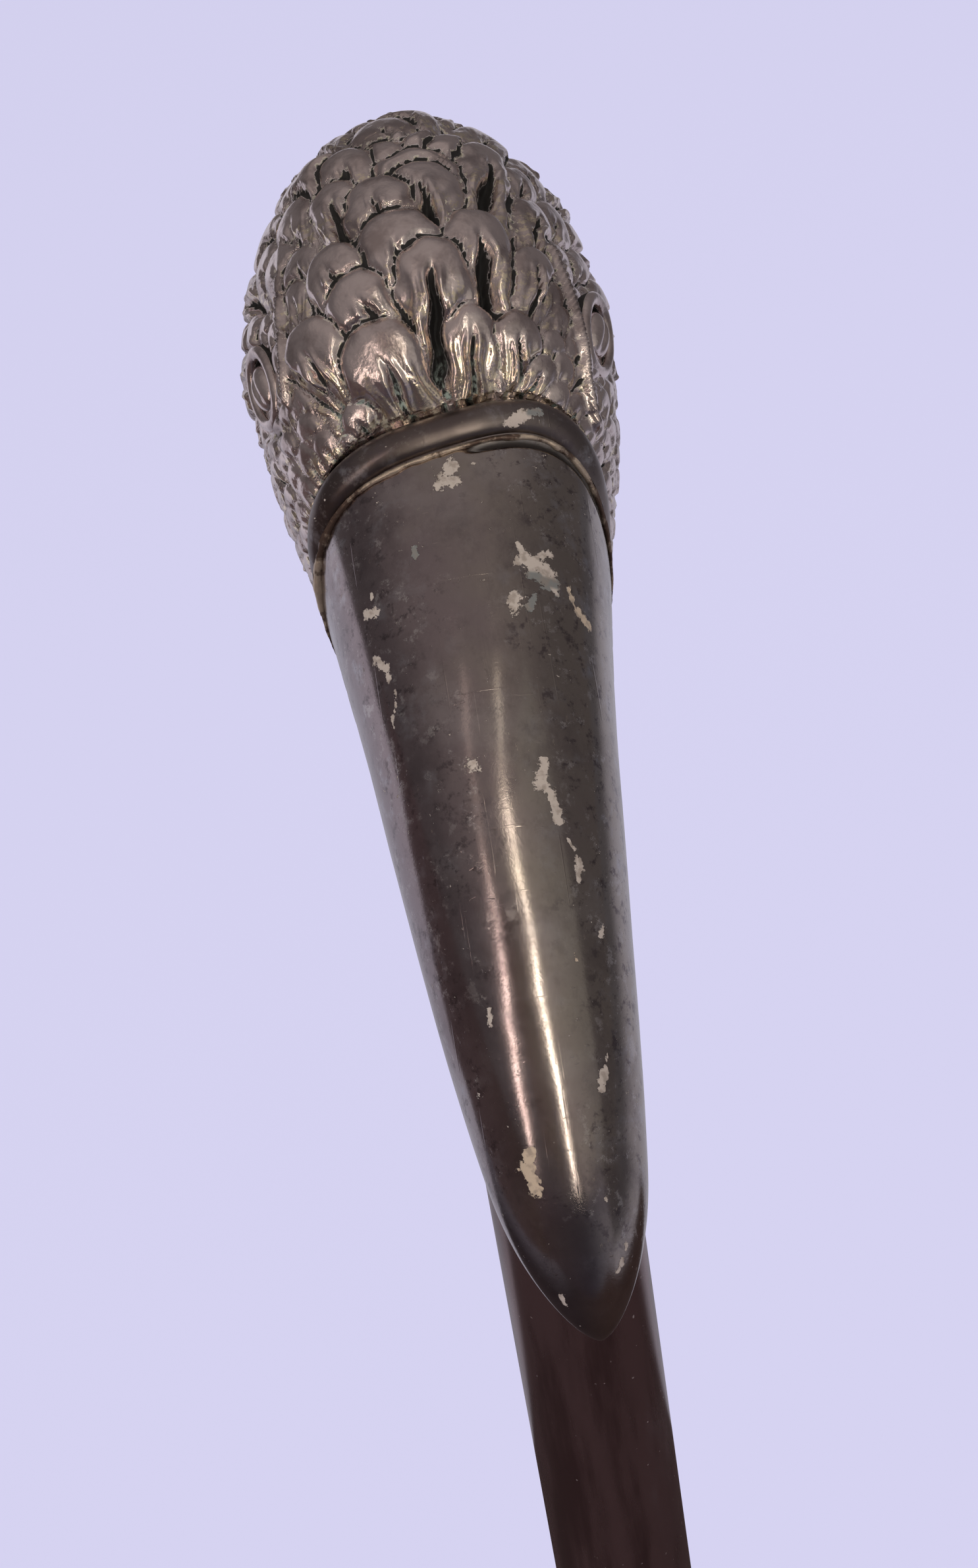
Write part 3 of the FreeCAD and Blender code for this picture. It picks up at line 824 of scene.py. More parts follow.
@dataclass
class HeadForm:
    """The smooth form under the feathers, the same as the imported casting's outside."""
    eye_height: float
    half_width: float = 22.6 * MM
    half_height: float = 28.0 * MM
    middle_drop: float = 3.0 * MM
    middle_reach: float = -5.0 * MM
    back_length: float = 32.0 * MM
    face_reach: float = 24.0 * MM
    face_drop: float = 12.0 * MM
    face_half_width: float = 18.0 * MM
    face_half_height: float = 20.2 * MM
    neck_drop: float = 46.0 * MM
    neck_radius: float = 14.2 * MM
    throat_half_width: float = 20.4 * MM
    throat_half_length: float = 24.0 * MM
    throat_reach: float = -6.0 * MM
    throat_drop: float = 7.0 * MM
    fillet: float = 2.5 * MM
    squareness: float = 0.45
    bend_side: float = 12.0 * MM
    bend_rise: float = 2.0 * MM
    bend_ahead: float = 2.0 * MM
    bend_width: float = 12.0 * MM
    bend_push: Tuple[float, float, float] = (0.6 * MM, 2.0 * MM, 2.1 * MM)
    halvings: int = 26

    def bend(self, points: np.ndarray) -> np.ndarray:
        """Pushes the right shoulder of the beak's root up and back, as the hand-made casting has it."""
        middle = np.array(self.point(self.face_reach + self.bend_ahead, self.bend_rise, self.bend_side))
        away = np.linalg.norm(points - middle, axis=1)
        return points + hill(away, self.bend_width)[:, None] * np.array(self.bend_push)

    def point(self, reach: float, rise: float, side: float = 0.0) -> Vector:
        """A point by its reach, its rise above eye level and its side."""
        return Vector((side, -reach, self.eye_height + rise))

    def depth(self, points: np.ndarray) -> np.ndarray:
        """Roughly how far each point lies outside the head, negative inside."""
        side = points[:, 0]
        reach = -points[:, 1]
        rise = points[:, 2] - self.eye_height
        return self._fillet(self._skull(side, reach, rise), self._neck(side, reach, rise))

    def _skull(self, side: np.ndarray, reach: np.ndarray, rise: np.ndarray) -> np.ndarray:
        """The same for the skull alone."""
        behind = np.clip((self.middle_reach - reach) / self.back_length, 0.0, None)
        front = np.clip((reach - self.middle_reach) / (self.face_reach - self.middle_reach), 0.0, 1.0) ** 3
        wide = self.half_width + (self.face_half_width - self.half_width) * front
        high = self.half_height + (self.face_half_height - self.half_height) * front
        drop = self.middle_drop + (self.face_drop - self.middle_drop) * front
        power = 2.0 + self.squareness * front
        flat = (np.abs(side / wide) ** power + np.abs((rise + drop) / high) ** power) ** (1.0 / power)
        round_about = np.sqrt(flat ** 2 + behind ** 2)
        return np.maximum((round_about - 1.0) * self.half_width, reach - self.face_reach)

    def _neck(self, side: np.ndarray, reach: np.ndarray, rise: np.ndarray) -> np.ndarray:
        """The same for the neck alone."""
        share = np.clip((rise + self.neck_drop) / (self.neck_drop - self.throat_drop), 0.0, 1.0)
        swell = (1.0 - np.cos(math.pi * share)) / 2.0
        wide = self.neck_radius + (self.throat_half_width - self.neck_radius) * swell
        long = self.neck_radius + (self.throat_half_length - self.neck_radius) * swell
        middle = self.throat_reach * swell
        round_about = np.sqrt((side / wide) ** 2 + ((reach - middle) / long) ** 2)
        ends = np.maximum(-self.neck_drop - rise, rise + self.throat_drop)
        return np.maximum((round_about - 1.0) * self.neck_radius, ends)

    def _fillet(self, first: np.ndarray, second: np.ndarray) -> np.ndarray:
        """Joins two forms with a soft fillet."""
        share = np.clip(0.5 + (second - first) / (2.0 * self.fillet), 0.0, 1.0)
        return second + (first - second) * share - self.fillet * share * (1.0 - share)

    def land(self, start: np.ndarray, ways: np.ndarray, reach: float) -> np.ndarray:
        """Finds the skin along rays from inside the head.

        Args:
            start: one point inside the head.
            ways: the rays' unit directions, one row each.
            reach: a distance that is surely outside.

        Returns:
            The points of the skin.
        """
        inner = np.zeros(len(ways))
        outer = np.full(len(ways), reach)
        for _ in range(self.halvings):
            middle = (inner + outer) / 2
            outside = self.depth(start + ways * middle[:, None]) > 0.0
            outer = np.where(outside, middle, outer)
            inner = np.where(outside, inner, middle)
        return start + ways * inner[:, None]


@dataclass
class Relief:
    """What the carving has made of each vertex so far."""
    height: np.ndarray
    cleft: np.ndarray
    barb: np.ndarray
    phase: np.ndarray


@dataclass
class Feather:
    """One carved feather: a rounded lobe whose tip stands out over the roots of those behind it."""
    tip: np.ndarray
    way: np.ndarray
    out: np.ndarray
    wide: float
    long: float
    rise: float
    cleft: float = 1.0
    slant: float = 0.32
    barb_pitch: float = 1.5 * MM
    barb_depth: float = 0.3 * MM

    def carve(self, points: np.ndarray, relief: Relief) -> None:
        """Lays this feather over what it covers, as the next scale lies over the one behind.

        Args:
            points: all the vertices.
            relief: what has been carved so far, changed in place.
        """
        near, along, across, body, edge = self._covered(points)
        half = self.wide / 2
        shoulder = np.sqrt(1.0 - (1.0 - np.clip(edge / (0.5 * half), 0.0, 1.0)) ** 2)
        dome = 1.0 - 0.12 * (across / half) ** 2
        height = self.rise * (0.22 + 0.78 * shoulder) * dome * (1.0 - 0.66 * ease(body))
        split = ease((-along - 0.8 * half) / (0.8 * half)) * self.cleft
        groove_half = self.wide * (0.032 + 0.062 * self.cleft * ease(body * 1.8)) + 0.16 * MM
        groove = np.clip(1.0 - np.abs(across) / groove_half, 0.0, 1.0) * np.clip(split, 0.0, 1.3)
        lips = hill(np.abs(across) - groove_half * 1.7, groove_half * 0.8) * np.clip(split, 0.0, 1.0)
        height = height + lips * 0.16 * self.rise - groove * 0.75 * self.rise
        phase = (np.abs(across) - along * self.slant) / self.barb_pitch
        barb = ease((-along - 0.9 * half) / half) * ease(edge / (0.7 * MM))
        barb = barb * (1.0 - np.clip(groove, 0.0, 1.0))
        height = height - barb * self.barb_depth * (0.5 + 0.5 * np.cos(2 * math.pi * phase)) ** 2
        cover = ease(edge / (0.28 * MM))
        for values, mine in ((relief.height, height), (relief.cleft, groove), (relief.barb, barb)):
            values[near] = values[near] * (1.0 - cover) + mine * cover
        shown = cover > 0.5
        relief.phase[near[shown]] = phase[shown]

    def _covered(self, points: np.ndarray) -> List[np.ndarray]:
        """Finds the vertices that the feather lies on.

        Args:
            points: all the vertices.

        Returns:
            Their numbers, and for each how far it lies along the feather past its tip, how far across,
            its share of the way down the body, and how far it lies within the feather's edge.
        """
        offset = points - self.tip
        near = np.nonzero((offset ** 2).sum(axis=1) < (self.long * 1.1 + self.wide) ** 2)[0]
        offset = offset[near]
        side = np.cross(self.out, self.way)
        along = offset @ self.way
        across = offset @ side + wobble(points[near], 7.0 * MM, self.wide * 900.0) * 0.075 * self.wide
        deep = offset @ self.out
        half = self.wide / 2
        cap = half * 1.05
        body = np.clip((-along - cap) / (self.long - cap), 0.0, 1.0)
        width = half * (1.0 - 0.32 * body ** 1.5)
        ball = np.sqrt((across / half) ** 2 + ((along + cap) / cap) ** 2)
        edge = np.where(along > -cap, (1.0 - ball) * cap, width - np.abs(across))
        edge = np.minimum(edge, (along + self.long) * 1.2)
        inside = (edge > 0.0) & (np.abs(deep) < self.wide)
        return [values[inside] for values in (near, along, across, body, edge)]


@dataclass(frozen=True)
class Sighted:
    """A feather as the photograph shows it: the pixels of its tip and its root, and its real width."""
    tip: Pixel
    root: Pixel
    wide: float
    cleft: float = 1.0


@dataclass(frozen=True)
class Ridge:
    """A line that stands out of the casting, or a crease, through pixels of the photograph."""
    pixels: Tuple[Pixel, ...]
    height: float
    width: float


@dataclass(frozen=True)
class Swelling:
    """A place where the hand-made casting stands fuller or flatter than the even form."""
    pixel: Pixel
    amount: float
    width: float


@dataclass
class FeatheredHead:
    """The cast head: its form covered with carved feathers."""
    form: HeadForm
    swellings: Tuple[Swelling, ...] = (
        Swelling((615, 190), 1.5 * MM, 9.0 * MM),
        Swelling((905, 400), -1.4 * MM, 8.0 * MM),
        Swelling((845, 250), -0.5 * MM, 6.0 * MM),
        Swelling((470, 250), 1.0 * MM, 6.0 * MM),
    )
    ridges: Tuple[Ridge, ...] = (
        Ridge(((838, 350), (853, 378), (877, 445), (894, 518), (903, 592), (918, 665)), 2.5 * MM, 0.42 * MM),
        Ridge(((428, 330), (420, 397), (413, 478), (419, 555), (426, 632)), 2.2 * MM, 0.36 * MM),
        Ridge(((903, 566), (914, 578), (930, 574), (938, 560)), 0.2 * MM, 0.5 * MM),
        Ridge(((382, 660), (398, 668), (412, 655)), 0.2 * MM, 0.5 * MM),
    )
    grid: int = 124
    sunk: float = 2.3 * MM
    eye_reach: float = 7.0 * MM
    eye_rise: float = 4.8 * MM
    eye_room: float = 6.2 * MM
    flank: float = 12.0 * MM
    face_room: float = 3.2 * MM
    tries: int = 9000
    spacing: float = 1.42
    seen_pitch: float = 1.9 * MM
    seen_depth: float = 0.42 * MM
    tallest: float = 2.9 * MM
    straight_within: float = 9.0 * MM
    crown: Tuple[Sighted, ...] = (
        Sighted((714, 452), (722, 640), 6.6 * MM, 0.8),
        Sighted((785, 462), (790, 640), 6.4 * MM, 0.8),
        Sighted((545, 486), (640, 655), 10.6 * MM, 0.6),
        Sighted((450, 484), (530, 650), 9.4 * MM, 0.6),
        Sighted((523, 612), (565, 676), 4.8 * MM),
        Sighted((650, 350), (672, 590), 9.4 * MM, 1.3),
        Sighted((817, 366), (806, 540), 6.8 * MM, 1.1),
        Sighted((586, 312), (640, 500), 11.4 * MM, 1.0),
        Sighted((484, 374), (545, 490), 8.2 * MM),
        Sighted((508, 420), (600, 520), 8.8 * MM, 0.6),
        Sighted((716, 310), (746, 470), 9.4 * MM, 1.3),
        Sighted((822, 299), (812, 420), 7.4 * MM),
        Sighted((636, 242), (652, 370), 9.6 * MM, 1.3),
        Sighted((558, 268), (600, 390), 9.4 * MM),
        Sighted((500, 278), (525, 400), 7.6 * MM),
        Sighted((490, 250), (475, 400), 9.0 * MM, 0.7),
        Sighted((742, 226), (738, 345), 9.6 * MM, 1.3),
        Sighted((628, 224), (645, 330), 11.6 * MM),
        Sighted((572, 220), (590, 300), 7.0 * MM),
        Sighted((520, 211), (520, 300), 8.0 * MM),
        Sighted((612, 180), (622, 262), 9.8 * MM, 1.2),
        Sighted((690, 211), (700, 290), 8.4 * MM),
        Sighted((650, 167), (660, 235), 9.4 * MM),
        Sighted((570, 170), (585, 235), 8.8 * MM),
        Sighted((796, 254), (804, 345), 6.8 * MM),
    )

    def build(self, shot: Shot) -> bpy.types.Object:
        """Carves the head.

        Args:
            shot: the camera, which places the feathers that the photograph shows.

        Returns:
            The finished piece.
        """
        form = self.form
        head = new_object("head_feathers", self._ball())
        mesh = head.data
        points = read_points(mesh)
        normals = read_normals(mesh)
        relief = Relief(*(np.zeros(len(points)) for _ in range(4)))
        ahead = form.face_reach + points[:, 1]
        relief.height += (0.25 + 1.35 * ease((7.0 * MM - ahead) / (5.0 * MM))) * MM
        surface = surface_of(mesh)
        feathers = self._seen(shot, surface)
        feathers += self._filled(points, normals, feathers)
        uneven = np.zeros(len(points))
        for swelling in self.swellings:
            place, _ = self._land(shot, surface, swelling.pixel)
            uneven += swelling.amount * hill(np.linalg.norm(points - place, axis=1), swelling.width)
        feathers.sort(key=lambda feather: -float(np.linalg.norm(feather.tip - self._root())))
        for feather in feathers:
            feather.carve(points, relief)
        LOG.info("feathers carved: %d", len(feathers))
        for ridge in self.ridges:
            self._draw_ridge(ridge, points, relief, shot, surface)
        self._clear_eyes(points, relief)
        self._clear_ends(points, relief)
        height = relief.height
        smooth = height * 0.6 + neighbour_mean(mesh, height, 1) * 0.4
        hollow = np.clip((neighbour_mean(mesh, height, 12) - height) / (0.7 * MM), 0.0, 1.0)
        write_points(mesh, points + normals * (smooth + uneven - self.sunk)[:, None])
        rim_near = np.clip(1.0 - ahead / (9.0 * MM), 0.0, 1.0)
        kept = {Layer.HOLLOW: hollow, Layer.CLEFT: relief.cleft, Layer.BARB: relief.barb,
                Layer.BARB_PHASE: relief.phase, Layer.RIM_NEAR: rim_near}
        for layer, values in kept.items():
            store(mesh, layer, values)
        return head

    def _root(self) -> np.ndarray:
        """The middle of the beak's root."""
        return np.array(self.form.point(self.form.face_reach, -self.form.face_drop))

    def _eye(self) -> np.ndarray:
        """The eyes' place, as seen from the side."""
        return np.array(self.form.point(self.eye_reach, self.eye_rise))

    def _ball(self) -> bmesh.types.BMesh:
        """The head's form as an even mesh: six grids on a cube's sides, pushed out to the skin."""
        shape = bmesh.new()
        turns = [Matrix.Rotation(math.pi / 2 * step, 4, "X") for step in range(4)]
        turns += [Matrix.Rotation(math.pi / 2 * step, 4, "Y") for step in (1, 3)]
        for turn in turns:
            bmesh.ops.create_grid(shape, x_segments=self.grid, y_segments=self.grid, size=1.0,
                                  matrix=turn @ Matrix.Translation((0, 0, 1)))
        bmesh.ops.remove_doubles(shape, verts=shape.verts, dist=1e-4)
        cube = np.array([vertex.co for vertex in shape.verts])
        ways = np.tan(cube * (math.pi / 4))
        ways /= np.linalg.norm(ways, axis=1)[:, None]
        start = np.array(self.form.point(1.0 * MM, -7.0 * MM))
        skin = self.form.bend(self.form.land(start, ways, 80.0 * MM))
        for vertex, place in zip(shape.verts, skin):
            vertex.co = place
        bmesh.ops.recalc_face_normals(shape, faces=shape.faces)
        return shape

    def _flow(self, place: np.ndarray, out: np.ndarray) -> np.ndarray:
        """The way feathers lie at a place: away from the beak and towards the neck."""
        root = self._root()
        neck = np.array(self.form.point(0.0, -self.form.neck_drop))
        away = (place - root) / np.sum((place - root) ** 2)
        down = (neck - place) / (np.sum((neck - place) ** 2) + (8.0 * MM) ** 2)
        way = away + down * 0.9
        way -= out * np.dot(way, out)
        return way / (np.linalg.norm(way) + 1e-12)

    def _seen(self, shot: Shot, surface: BVHTree) -> List[Feather]:
        """The feathers whose places are read off the photograph."""
        made = []
        for sighted in self.crown:
            tip, out = self._land(shot, surface, sighted.tip)
            root, _ = self._land(shot, surface, sighted.root)
            way = tip - root
            way -= out * np.dot(way, out)
            length = float(np.linalg.norm(tip - root))
            rise = min(0.33 * sighted.wide, self.tallest)
            ahead = self.form.face_reach + root[1]
            slant = 0.04 if ahead < self.straight_within else 0.32
            made.append(Feather(tip, way / np.linalg.norm(way), out, sighted.wide, length, rise,
                                sighted.cleft, slant, self.seen_pitch, self.seen_depth))
        return made

    @staticmethod
    def _land(shot: Shot, surface: BVHTree, pixel: Pixel) -> Tuple[np.ndarray, np.ndarray]:
        """The skin's point and outward direction under a pixel."""
        start, way = shot.sight(pixel)
        place, out, _, _ = surface.ray_cast(start, way)
        if place is None:
            place, out, _, _ = surface.find_nearest(start + way * shot.far)
        return np.array(place), np.array(out)

    def _width_at(self, place: np.ndarray) -> float:
        """How wide the feathers are at a place: narrow by the rim and the cheeks, broad behind."""
        ahead = self.form.face_reach + place[1]
        rise = place[2] - self.form.eye_height
        broad = 3.6 * MM + 0.9 * MM * float(np.clip(ahead / (6 * MM), 0.0, 1.0))
        broad += 3.2 * MM * float(np.clip((ahead - 6 * MM) / (26 * MM), 0.0, 1.0))
        broad -= 0.9 * MM * float(np.clip((-rise - 20 * MM) / (20 * MM), 0.0, 1.0))
        return broad + (3.3 * MM - broad) * 0.75 * self._cheek(place)

    def _cheek(self, place: np.ndarray) -> float:
        """How much a place belongs to the cheeks, where the feathers are narrow and long."""
        ahead = self.form.face_reach + place[1]
        sideways = np.clip((abs(place[0]) - 13 * MM) / (4 * MM), 0.0, 1.0)
        return float(sideways * np.clip((30 * MM - ahead) / (8 * MM), 0.0, 1.0))

    def _filled(self, points: np.ndarray, normals: np.ndarray, seen: List[Feather]) -> List[Feather]:
        """Feathers for the rest of the skin, scattered evenly and laid along the flow."""
        draw = np.random.default_rng(SEED)
        middle = np.array([feather.tip for feather in seen])
        room = np.array([feather.wide * 0.5 for feather in seen])
        eye = self._eye()
        made = []
        for index in draw.permutation(len(points))[:self.tries]:
            place = points[index]
            wide = self._width_at(place)
            gap = np.linalg.norm(middle - place, axis=1)
            if (gap < np.maximum(room, wide * 0.5) * self.spacing).any():
                continue
            if any(self._on_body(place, feather) for feather in seen):
                continue
            from_eye = math.hypot(place[1] - eye[1], place[2] - eye[2])
            if from_eye < self.eye_room * 0.9 and abs(place[0]) > self.flank:
                continue
            if self.form.face_reach + place[1] < self.face_room:
                continue
            way = self._flow(place, normals[index])
            bent = np.cross(normals[index], way) * draw.normal(0.0, 0.14)
            way = (way + bent) / np.linalg.norm(way + bent)
            wide *= draw.uniform(0.9, 1.12)
            long = 2.3 + 1.5 * self._cheek(place)
            made.append(Feather(place, way, normals[index], wide * 1.12, wide * long, wide * 0.3,
                                draw.uniform(0.5, 1.1)))
            middle = np.vstack([middle, place])
            room = np.append(room, wide * 0.5)
        return made

    @staticmethod
    def _on_body(place: np.ndarray, feather: Feather) -> bool:
        """Whether a place lies on a feather between its tip and its root."""
        offset = place - feather.tip
        along = float(np.clip(-offset @ feather.way, 0.0, feather.long * 0.9))
        return float(np.linalg.norm(offset + feather.way * along)) < feather.wide * 0.52

    def _draw_ridge(self, ridge: Ridge, points: np.ndarray, relief: Relief, shot: Shot,
                    surface: BVHTree) -> None:
        """Lays a ridge or a crease over the feathers."""
        corners = [self._land(shot, surface, pixel)[0] for pixel in ridge.pixels]
        away = np.full(len(points), 1.0)
        for start, end in zip(corners, corners[1:]):
            run = end - start
            share = np.clip((points - start) @ run / (run @ run), 0.0, 1.0)
            away = np.minimum(away, np.linalg.norm(points - start - share[:, None] * run, axis=1))
        ends = np.minimum(*(np.linalg.norm(points - corner, axis=1) for corner in (corners[0], corners[-1])))
        near = hill(away, ridge.width) * ease(ends / (2.0 * MM))
        relief.height = relief.height * (1.0 - near) + ridge.height * near
        for values in (relief.cleft, relief.barb):
            values *= 1.0 - near

    def _clear_eyes(self, points: np.ndarray, relief: Relief) -> None:
        """Flattens the feathers round the eyes."""
        eye = self._eye()
        far = np.hypot((points[:, 1] - eye[1]) / 1.15, points[:, 2] - eye[2])
        clear = ease((far - self.eye_room * 0.72) / (1.3 * MM))
        outer = np.where(np.abs(points[:, 0]) > self.flank, clear, 1.0)
        relief.height = relief.height * outer + 0.55 * MM * (1.0 - outer)
        for values in (relief.cleft, relief.barb):
            values *= outer

    def _clear_ends(self, points: np.ndarray, relief: Relief) -> None:
        """Lets the feathers die away at the neck's foot and at the face."""
        foot = ease((points[:, 2] - self.form.eye_height + self.form.neck_drop) / (3.0 * MM))
        face = ease((self.form.face_reach + points[:, 1]) / (0.4 * MM))
        relief.height = relief.height * foot * face + 1.2 * MM * (1.0 - foot)


# Eyes

@dataclass
class Eye:
    """One eye: a raised ring round a slit ball, standing out of the side of the head."""
    name: str
    side: int
    form: HeadForm
    reach: float = 7.0 * MM
    rise: float = 4.8 * MM
    ring_radius: float = 3.9 * MM
    ring_wire: float = 0.8 * MM
    ring_lift: float = 0.15 * MM
    ball_radius: float = 2.55 * MM
    slit_depth: float = 0.55 * MM
    slit_half: float = 0.45 * MM
    slit_length: float = 1.9 * MM
    stretch: float = 1.22
    squeeze: float = 0.92
    lean: float = 14.0
    sunk: float = 0.6 * MM

    def build(self) -> bpy.types.Object:
        """Builds the eye in place."""
        seat = self._seat()
        shape = bmesh.new()
        self._ring(shape)
        self._ball(shape)
        bmesh.ops.scale(shape, vec=(self.stretch, self.squeeze, 1.0), verts=shape.verts)
        bmesh.ops.transform(shape, matrix=seat, verts=shape.verts)
        bmesh.ops.recalc_face_normals(shape, faces=shape.faces)
        eye = new_object(self.name, shape)
        points = read_points(eye.data)
        proud = (np.array(seat.inverted()) @ np.c_[points, np.ones(len(points))].T)[2]
        # Painted shade: the eye's low parts, the foot of the ring and the groove round the ball, are marked
        # hollow and so turn black.
        store(eye.data, Layer.HOLLOW, ease((0.42 * MM - proud) / (0.6 * MM)))
        for layer in (Layer.CLEFT, Layer.BARB, Layer.BARB_PHASE, Layer.RIM_NEAR):
            store(eye.data, layer, np.zeros(len(points)))
        return eye

    def _seat(self) -> Matrix:
        """The eye's place: its Z axis out of the head, its X axis along the head and leaning."""
        form = self.form
        ahead = (self.reach - form.middle_reach) / form.back_length
        above = (self.rise + form.middle_drop) / form.half_height
        deep = form.half_width * math.sqrt(1.0 - ahead ** 2 - above ** 2)
        out = Vector((self.side * deep / form.half_width ** 2, -ahead / form.back_length,
                      above / form.half_height)).normalized()
        place = form.point(self.reach, self.rise, self.side * deep) - out * self.sunk
        along = Vector((0.0, -1.0, 0.0))
        along = (along - out * along.dot(out)).normalized()
        across = out.cross(along)
        seat = Matrix((along, across, out)).transposed().to_4x4()
        lean = Matrix.Rotation(math.radians(self.side * self.lean), 4, "Z")
        return Matrix.Translation(place) @ seat @ lean

    def _ring(self, shape: bmesh.types.BMesh) -> None:
        """Spins the round ring and lengthens its underside into the head."""
        upright = Matrix.Rotation(math.pi / 2, 4, "X")
        place = Matrix.Translation((self.ring_radius, 0, self.ring_lift)) @ upright
        made = bmesh.ops.create_circle(shape, cap_ends=False, segments=14, radius=self.ring_wire,
                                       matrix=place)
        corners = made["verts"]
        edges = list({edge for corner in corners for edge in corner.link_edges})
        bmesh.ops.spin(shape, geom=corners + edges, cent=(0, 0, 0), axis=(0, 0, 1), angle=2 * math.pi,
                       steps=56, use_merge=True, use_duplicate=False)
        for vertex in shape.verts:
            vertex.co.z *= 2.4 if vertex.co.z < 0.0 else 1.0

    def _ball(self, shape: bmesh.types.BMesh) -> None:
        """Adds the flattened ball with its slit."""
        made = bmesh.ops.create_uvsphere(shape, u_segments=48, v_segments=32, radius=self.ball_radius)
        for vertex in made["verts"]:
            vertex.co.z *= 0.62
            if vertex.co.z > 0.0:
                slit = hill(vertex.co.y, self.slit_half) * hill(vertex.co.x, self.slit_length)
                vertex.co.z -= self.slit_depth * float(slit)


# Beak

class Tint(Enum):
    """What shows where the plate has flaked off."""
    BLUISH = 0.0
    PALE = 0.5
    GOLD = 1.0


@dataclass(frozen=True)
class Flake:
    """A place where the plate has flaked off: a short run between two pixels of the photograph."""
    start: Pixel
    end: Pixel
    radius: float
    tint: Tint = Tint.PALE


def store_flakes(mesh: bpy.types.Mesh, flakes: Sequence[Flake], shot: Shot) -> None:
    """Marks on a mesh where the plate has flaked off.

    Args:
        mesh: the piece's mesh.
        flakes: the flaked places.
        shot: the camera, whose lines of sight place them.
    """
    surface = surface_of(mesh)
    points = read_points(mesh)
    flaked = np.zeros(len(points))
    tint = np.full(len(points), Tint.PALE.value)
    for flake in flakes:
        start = shot.land(flake.start, surface)
        end = shot.land(flake.end, surface)
        if start is None or end is None:
            LOG.info("a flake at %s misses its piece", flake.start)
            continue
        run = np.array(end - start)
        offset = points - np.array(start)
        share = np.clip(offset @ run / max(float(run @ run), 1e-12), 0.0, 1.0)
        away = np.linalg.norm(offset - share[:, None] * run, axis=1)
        value = np.clip(1.0 - away / (flake.radius * 2.0), 0.0, 1.0)
        tint[value > flaked] = flake.tint.value
        flaked = np.maximum(flaked, value)
    store(mesh, Layer.FLAKE, flaked)
    store(mesh, Layer.FLAKE_TINT, tint)


